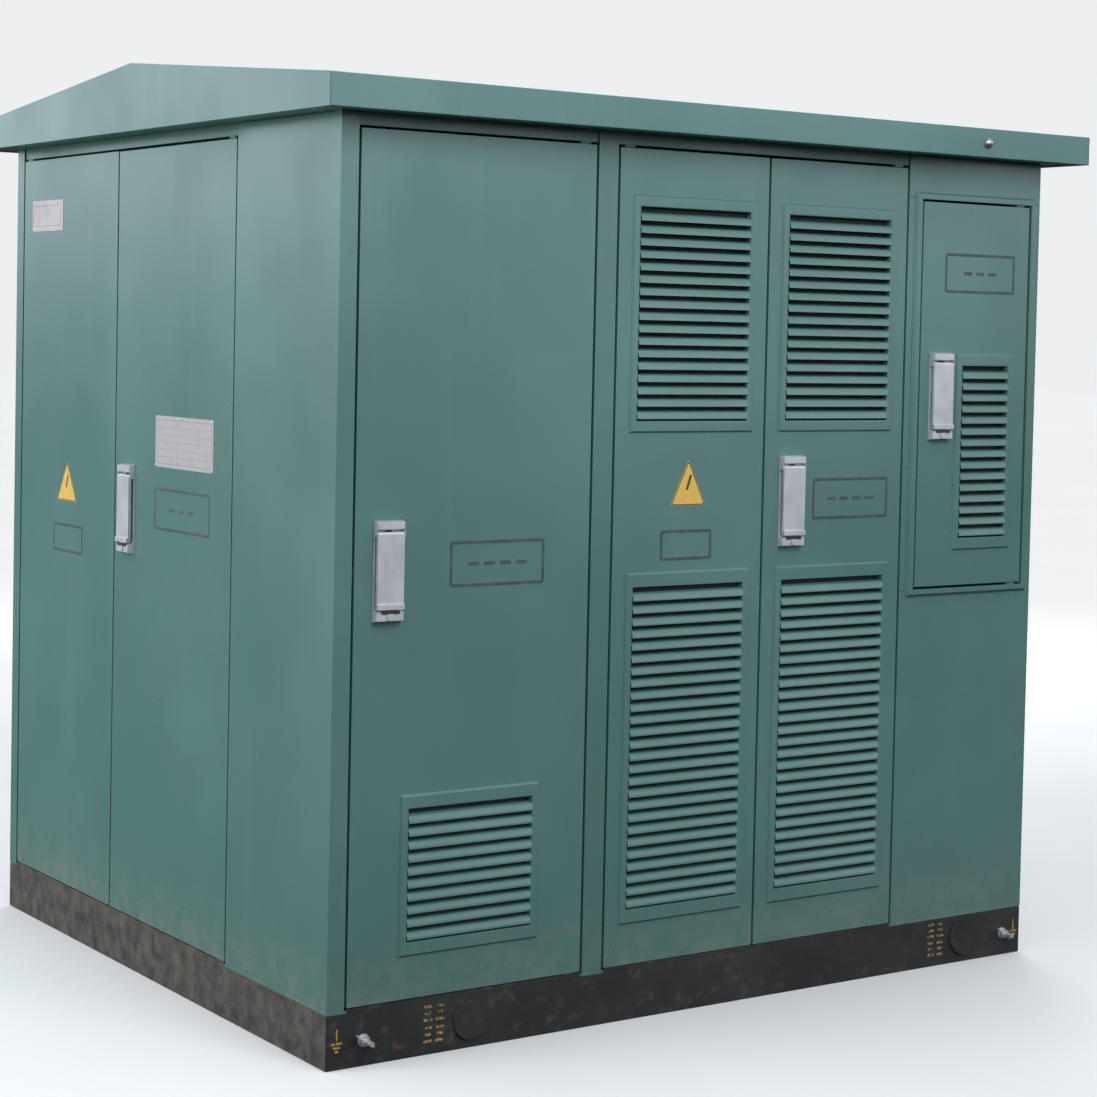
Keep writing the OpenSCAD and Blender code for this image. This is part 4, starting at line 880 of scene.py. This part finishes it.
def handlePieces(name, face, look):
    low, high = facePlaces(face, *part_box("handle_plate_" + name))
    middle, foot = (low.x + high.x) / 2 / mm, low.y / mm

    def box(corners):
        return rectCorners(middle + corners[0], foot + corners[1], middle + corners[2], foot + corners[3])

    flatPiece(name + "LockFlap", frame["nodes"]["handle_plate_" + name]["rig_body"], blackPlastic, face,
              lambda bm, place: addSlab(bm, place, box(look["flap"]), high.z - look["flapSunk"] * mm, 0.0034,
                                        0.0014, 0.0006))

    def drawStrip(bm, place):
        x0, z0, x1, z1 = look["strip"]
        pitch = (z1 - z0) / look["ribs"]
        for i in range(look["ribs"]):
            rib = (x0, z0 + i * pitch, x1, z0 + (i + 0.72) * pitch)
            addSlab(bm, place, box(rib), high.z - look["stripSunk"] * mm, 0.0007, 0.0005, 0.0002)

    lever = frame["nodes"]["handle_lever_" + name]["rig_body"]
    flatPiece(name + "GripStrip", lever, gripPlastic, face, drawStrip)


for name, face in handles.items():
    handlePieces(name, face, handleLook)

# black sills over the bottom rails, under each run of doors, in mm along the face
sillRuns = {"front": [(52, 698), (768, 1696)], "left": [(depth - 1804, depth - 506)], "right": [(506, 1804)]}
sillLook = {"low": 126.4, "high": 136.6, "film": 0.7}


def doorSills(runs, look):
    for face, spans in runs.items():
        def draw(bm, place, spans=spans):
            for x0, x1 in spans:
                addSlab(bm, place, rectCorners(x0, look["low"], x1, look["high"]), -tuck, look["film"] * mm)
        flatPiece(face + "Sill", "enclosure", blackCoat, face, draw)


doorSills(sillRuns, sillLook)
print("labels, plates, stencil marks, handle trims and sills made")

# what is on the automation cabinet's door, seen when the door in front of it is open; places in mm
cabinetLook = {
    "doorOut": -172, "window": (230, 1280, 490, 1530), "windowOut": -164, "lampRow": (240, 60, 1190),
    "lampOut": -162,
    "lampDome": [(11.5, 0), (11.5, 2), (10.6, 4.6), (8.4, 7.0), (5.0, 8.6), (0.8, 9.2)],
    "lamps": ["red", "red", "green", "green", "amber"], "handle": (560, 1030),
}


def cabinetDoorPieces(look):
    x0, z0, x1, z1 = look["window"]
    out = look["windowOut"] * mm
    glassBox = rectCorners(x0 + 14, z0 + 14, x1 - 14, z1 - 14)
    flatPiece("cabinetWindow", "enclosure", smokedPane, "front",
              lambda bm, place: addSlab(bm, place, glassBox, out, 0.0012, 0.006, 0.0006))
    sealBox = rectCorners(x0 + 8, z0 + 8, x1 - 8, z1 - 8)
    flatPiece("cabinetWindowSeal", "enclosure", rubber, "front",
              lambda bm, place: addBand(bm, place, sealBox, 0.007, out, 0.0022, 0.010))
    start, pitch, lampZ = look["lampRow"]
    for colour in ("red", "green", "amber"):
        def drawLamps(bm, place, colour=colour):
            for i, name in enumerate(look["lamps"]):
                if name == colour:
                    addDome(bm, place, start + i * pitch, lampZ, look["lampOut"] * mm, look["lampDome"], 24)
        flatPiece(colour + "Lamps", "enclosure", lensFinish[colour], "front", drawLamps)

    def drawTags(bm, place):
        for i in range(len(look["lamps"])):
            x = start + i * pitch
            tag = rectCorners(x - 20, lampZ - 40, x + 20, lampZ - 28)
            addSlab(bm, place, tag, look["doorOut"] * mm, 0.0008, 0.002)

    flatPiece("lampTags", "enclosure", plateFilm, "front", drawTags)

    x, z = look["handle"]

    def drawHandle(bm, place):
        plate = rectCorners(x - 17, z - 78, x + 17, z + 22)
        addSlab(bm, place, plate, look["doorOut"] * mm, 0.007, 0.012, 0.0016, 6)
        grip = rectCorners(x - 11, z - 70, x + 11, z + 14)
        addSlab(bm, place, grip, (look["doorOut"] + 6) * mm, 0.014, 0.009, 0.003, 6)

    flatPiece("cabinetHandle", "enclosure", blackPlastic, "front", drawHandle)


cabinetDoorPieces(cabinetLook)

# faces of the two energy meters
meterLook = {"dial": (1936, (1330, 1790), 44), "dialOut": -146, "coverOut": -170, "screwX": (1862, 2010),
             "coverZ": (1129, 1589), "key": [(4.2, 0), (4.2, 1.2), (3.4, 2.0), (0.5, 2.3)],
             "screw": [(5.5, 0), (5.5, 1.6), (4.4, 2.6), (0.6, 3.0)]}


def meterPieces(look):
    x, heights, radius = look["dial"]
    out = look["dialOut"] * mm

    def drawDisplays(bm, place):
        for z in heights:
            pane = rectCorners(x - 29, z - 12, x + 29, z + 14)
            addSlab(bm, place, pane, out - 0.0002, 0.0008, 0.002, 0.0002)

    def drawRims(bm, place):
        for z in heights:
            line = [(p.x, p.y) for p in circleLine(x, z, radius + 3, 40)]
            addBand(bm, place, line, 0.005, out - 0.006, 0.007, 0.0001)

    def drawKeys(bm, place):
        for z in heights:
            for dx in (-14, 14):
                addDome(bm, place, x + dx, z - 26, out, look["key"], 16)

    def drawScrews(bm, place):
        for z in look["coverZ"]:
            for sx in look["screwX"]:
                addDome(bm, place, sx, z, look["coverOut"] * mm, look["screw"], 18)

    flatPiece("meterDisplays", "enclosure", displayGlass, "front", drawDisplays)
    flatPiece("meterRims", "enclosure", blackPlastic, "front", drawRims)
    flatPiece("meterKeys", "enclosure", blackPlastic, "front", drawKeys)
    flatPiece("meterScrews", "enclosure", copper, "front", drawScrews)


meterPieces(meterLook)

# switch rows of the low voltage board, which faces the left doors: (first y, first z, wide, high, deep, rows
# and columns with their pitch), in mm from the board's front corner
boardLook = {
    "frontX": 393, "frontY": 550, "floor": 130, "recess": 88,
    "rows": [(110, 1280, 400, 380, 80, (1, 0), (1, 0)), (630, 240, 120, 300, 70, (2, 540), (4, 138)),
             (80, 190, 130, 250, 60, (3, 315), (3, 160))],
}


def boardPieces(look):
    tags, tips = bmesh.new(), bmesh.new()
    place = facePlane("left")
    for y, z, wide, high, deep, (rows, rowPitch), (columns, columnPitch) in look["rows"]:
        face = look["frontX"] + look["recess"] - deep
        for row in range(rows):
            for column in range(columns):
                left = depth - (look["frontY"] + y + column * columnPitch) - wide
                foot = look["floor"] + z + row * rowPitch
                tag = rectCorners(left + wide * 0.2, foot + high * 0.78,
                                  left + wide * 0.8, foot + high * 0.90)
                addSlab(tags, place, tag, -face * mm, 0.0008, 0.002)
                tip = rectCorners(left + wide * 0.44, foot + high * 0.47,
                                  left + wide * 0.56, foot + high * 0.58)
                addSlab(tips, place, tip, -(face - 30) * mm, 0.0016, 0.002, 0.0006)
    closePiece("breakerTags", tags, "enclosure", plateFilm)
    closePiece("toggleTips", tips, "enclosure", lensFinish["red"])


boardPieces(boardLook)

# the high voltage switchgear's front, which faces the right doors: drawn circuit, gauges, panes and handles
gearLook = {"start": 550, "bay": 410, "panelOut": -153, "thinOut": -159,
            "gauge": [(24, 0), (24, 3), (23.5, 3.4), (2, 3.4)]}


def gearPieces(look):
    lines, faces, rims, panes, bars = (bmesh.new() for i in range(5))
    place = facePlane("right")
    out, thin = look["panelOut"] * mm, look["thinOut"] * mm
    for i in range(3):
        x = look["start"] + (i + 0.5) * look["bay"]
        for z0, z1 in ((1130, 1290), (870, 1030)):
            addSlab(lines, place, rectCorners(x - 2.5, z0, x + 2.5, z1), out, 0.0006, 0.001, 0.0001)
        addSlab(lines, place, rectCorners(x - 150, 1262, x + 150, 1268), out, 0.0007, 0.001, 0.0001)
        for z in (1180, 905):
            line = [(p.x, p.y) for p in circleLine(x, z, 13, 28)]
            addBand(lines, place, line, 0.003, out, 0.0009, 0.0001)
        addDome(faces, place, x - 110, 1500, thin, look["gauge"], 32)
        line = [(p.x, p.y) for p in circleLine(x - 110, 1500, 28, 32)]
        addBand(rims, place, line, 0.0045, thin, 0.007, 0.0001)
        addSlab(rims, place, [((x - 111) * mm, 1.488), ((x - 109) * mm, 1.488), ((x - 98) * mm, 1.514),
                              ((x - 100) * mm, 1.515)], thin + 0.0034, 0.0008, 0.0003, 0.0001)
        addSlab(panes, place, rectCorners(x - 45, 560, x + 45, 680), thin, 0.0014, 0.008, 0.0006)
        addSlab(bars, place, rectCorners(x - 60, 752, x + 60, 772), thin + 0.018, 0.010, 0.008, 0.003, 6)
        for foot in (-50, 50):
            addDome(bars, place, x + foot, 762, thin, [(7, 0), (7, 20)], 16)
    closePiece("circuitLines", lines, "enclosure", blackInk)
    closePiece("gaugeFaces", faces, "enclosure", plateFilm)
    closePiece("gaugeRims", rims, "enclosure", blackPlastic)
    closePiece("cableBayPanes", panes, "enclosure", smokedPane)
    closePiece("cableBayHandles", bars, "enclosure", blackPlastic)


gearPieces(gearLook)

# phase colours shrunk over the low voltage bars between the transformer and the wall
sleeveLook = {"from": 0.748, "to": 0.985, "grow": 0.0012, "colours": ["yellow", "green", "red", "blue"]}


def phaseSleeves(look):
    bars = sorted(islands("lv_busbars"), key=lambda bar: bar[0].y)
    for (a, b), colour in zip(bars, look["colours"]):
        bm = bmesh.new()
        grow = look["grow"]
        x0, x1 = baseLow.x + look["from"], baseLow.x + look["to"]
        y0, y1, z0, z1 = a.y - grow, b.y + grow, a.z - grow, b.z + grow
        loops = []
        for x, tight in ((x0, 0.0006), (x0 + 0.002, 0), (x1 - 0.002, 0), (x1, 0.0006)):
            ring = softOutline([(y0 + tight, z0 + tight), (y1 - tight, z0 + tight), (y1 - tight, z1 - tight),
                                (y0 + tight, z1 - tight)], 0.003)
            loops.append([(x, p.x, p.y) for p in ring])
        rows = addRing(bm, Matrix.Identity(4), loops)
        bm.faces.new(rows[0])
        bm.faces.new(rows[-1])
        closePiece(colour + "Sleeve", bm, "enclosure", sleeveFinish[colour])


phaseSleeves(sleeveLook)
print("cabinet fronts, meters, breakers and busbar sleeves dressed")

stageLook = {"floor": "#f8f8f7", "mottle": "#f2f2f1", "size": 120.0, "haze": "#fff7e4",
             "fade": (3.0, 9.0, 0.0, 0.28)}


def plainFloor(look):
    # pale painted studio floor with a faint trowelled mottle, lighter far away so that it runs into the
    # backdrop; the object isn't lit or mirrored by it
    bm = bmesh.new()
    half = look["size"] / 2
    corners = ((-half, -half), (half, -half), (half, half), (-half, half))
    bm.faces.new([bm.verts.new((x, y, 0)) for x, y in corners])
    mesh = bpy.data.meshes.new("studioFloor")
    bm.to_mesh(mesh)
    bm.free()
    floor = bpy.data.objects.new("studioFloor", mesh)
    bpy.context.scene.collection.objects.link(floor)
    material, tree, shader, place = newFinish("paleStudioPaint")
    cloud = noise(tree, place, 2.0, 2)
    tree.links.new(blendColour(tree, remap(tree, cloud, 0.3, 0.7), look["floor"], look["mottle"]),
                   shader.inputs["Base Color"])
    shader.inputs["Roughness"].default_value = 0.85
    away = addNode(tree, "VectorMath", {"operation": "LENGTH"}, {0: place}).outputs["Value"]
    tree.links.new(remap(tree, away, *look["fade"]), shader.inputs["Emission Strength"])
    shader.inputs["Emission Color"].default_value = linear(look["haze"])
    mesh.materials.append(material)
    floor.visible_diffuse = False
    floor.visible_glossy = False


plainFloor(stageLook)

lightLook = {
    "zenith": "#e6ecf6", "horizon": "#f1f5ff", "ground": "#4a4d4b", "skyPower": 0.74, "gloss": 2.1,
    "blend": (-0.03, 0.07), "backdrop": "#eeeff0",
    "lamps": {
        "leftSoftbox": ((-6.0, 0.3, 2.8), (-1.0, 0.6, 1.3), 4.0, 166),
        "frontSoftbox": ((-0.5, -4.2, 3.9), (-0.2, -0.9, 2.0), 2.6, 92),
        "cornerSoftbox": ((-3.8, 1.9, 0.9), (-1.1, 0.8, 0.7), 2.0, 15),
        "rearSoftbox": ((4.5, 5.0, 4.5), (0.5, 0.5, 1.2), 4.0, 150),
    },
}


def softLight(look):
    # an even sky that is brightest at the horizon and brighter still in the gloss, dark ground below it, and
    # four large soft boxes
    world = bpy.data.worlds.new("studioSky")
    bpy.context.scene.world = world
    world.use_nodes = True
    tree = world.node_tree
    background = tree.nodes["Background"]
    up = addNode(tree, "SeparateXYZ", {}, {0: addNode(tree, "TexCoord").outputs["Generated"]}).outputs[2]
    sky = blendColour(tree, remap(tree, up, 0.05, 0.9), look["horizon"], look["zenith"])
    around = blendColour(tree, remap(tree, up, *look["blend"]), look["ground"], sky)
    path = addNode(tree, "LightPath").outputs
    seen = blendColour(tree, path["Is Camera Ray"], around, look["backdrop"])
    tree.links.new(seen, background.inputs["Color"])
    above = times(tree, remap(tree, up, *look["blend"]), remap(tree, up, 0.15, 0.6, 1.0, 0.12))
    shine = times(tree, times(tree, path["Is Glossy Ray"], above), look["gloss"] - look["skyPower"])
    level = addNode(tree, "Math", {"operation": "ADD", 1: look["skyPower"]}, {0: shine}).outputs[0]
    straight = times(tree, path["Is Camera Ray"], 1 - look["skyPower"])
    level = addNode(tree, "Math", {"operation": "ADD"}, {0: level, 1: straight}).outputs[0]
    tree.links.new(level, background.inputs["Strength"])
    for name, (place, aim, size, power) in look["lamps"].items():
        data = bpy.data.lights.new(name, "AREA")
        data.shape = "DISK"
        data.size = size
        data.energy = power
        lamp = bpy.data.objects.new(name, data)
        lamp.location = place
        lamp.rotation_euler = (Vector(aim) - Vector(place)).to_track_quat("-Z", "Y").to_euler()
        lamp.visible_camera = False
        bpy.context.scene.collection.objects.link(lamp)


softLight(lightLook)

cameraLook = {"fromCorner": (-2.7097, -4.7944, 1.6820), "turn": 34.589, "down": 2.341, "roll": 1.209,
              "lens": 80.74, "shift": (-0.00725, -0.1065)}


def standingCamera(look):
    # eye height view from the front left corner; the offset is from that corner of the base
    data = bpy.data.cameras.new("cornerView")
    data.sensor_width = 36
    data.lens = look["lens"]
    data.shift_x, data.shift_y = look["shift"]
    data.clip_end = 200
    turn, down, roll = (math.radians(look[k]) for k in ("turn", "down", "roll"))
    ahead = Vector((math.sin(turn) * math.cos(down), math.cos(turn) * math.cos(down), -math.sin(down)))
    right = Vector((math.cos(turn), -math.sin(turn), 0))
    up = right.cross(ahead)
    tiltedRight = right * math.cos(roll) + up * math.sin(roll)
    tiltedUp = up * math.cos(roll) - right * math.sin(roll)
    camera = bpy.data.objects.new("cornerView", data)
    matrix = Matrix((tiltedRight, tiltedUp, -ahead)).transposed().to_4x4()
    matrix.translation = Vector((baseLow.x, baseLow.y, 0)) + Vector(look["fromCorner"])
    camera.matrix_world = matrix
    bpy.context.scene.collection.objects.link(camera)
    bpy.context.scene.camera = camera


standingCamera(cameraLook)
bpy.context.scene.view_settings.view_transform = "Standard"
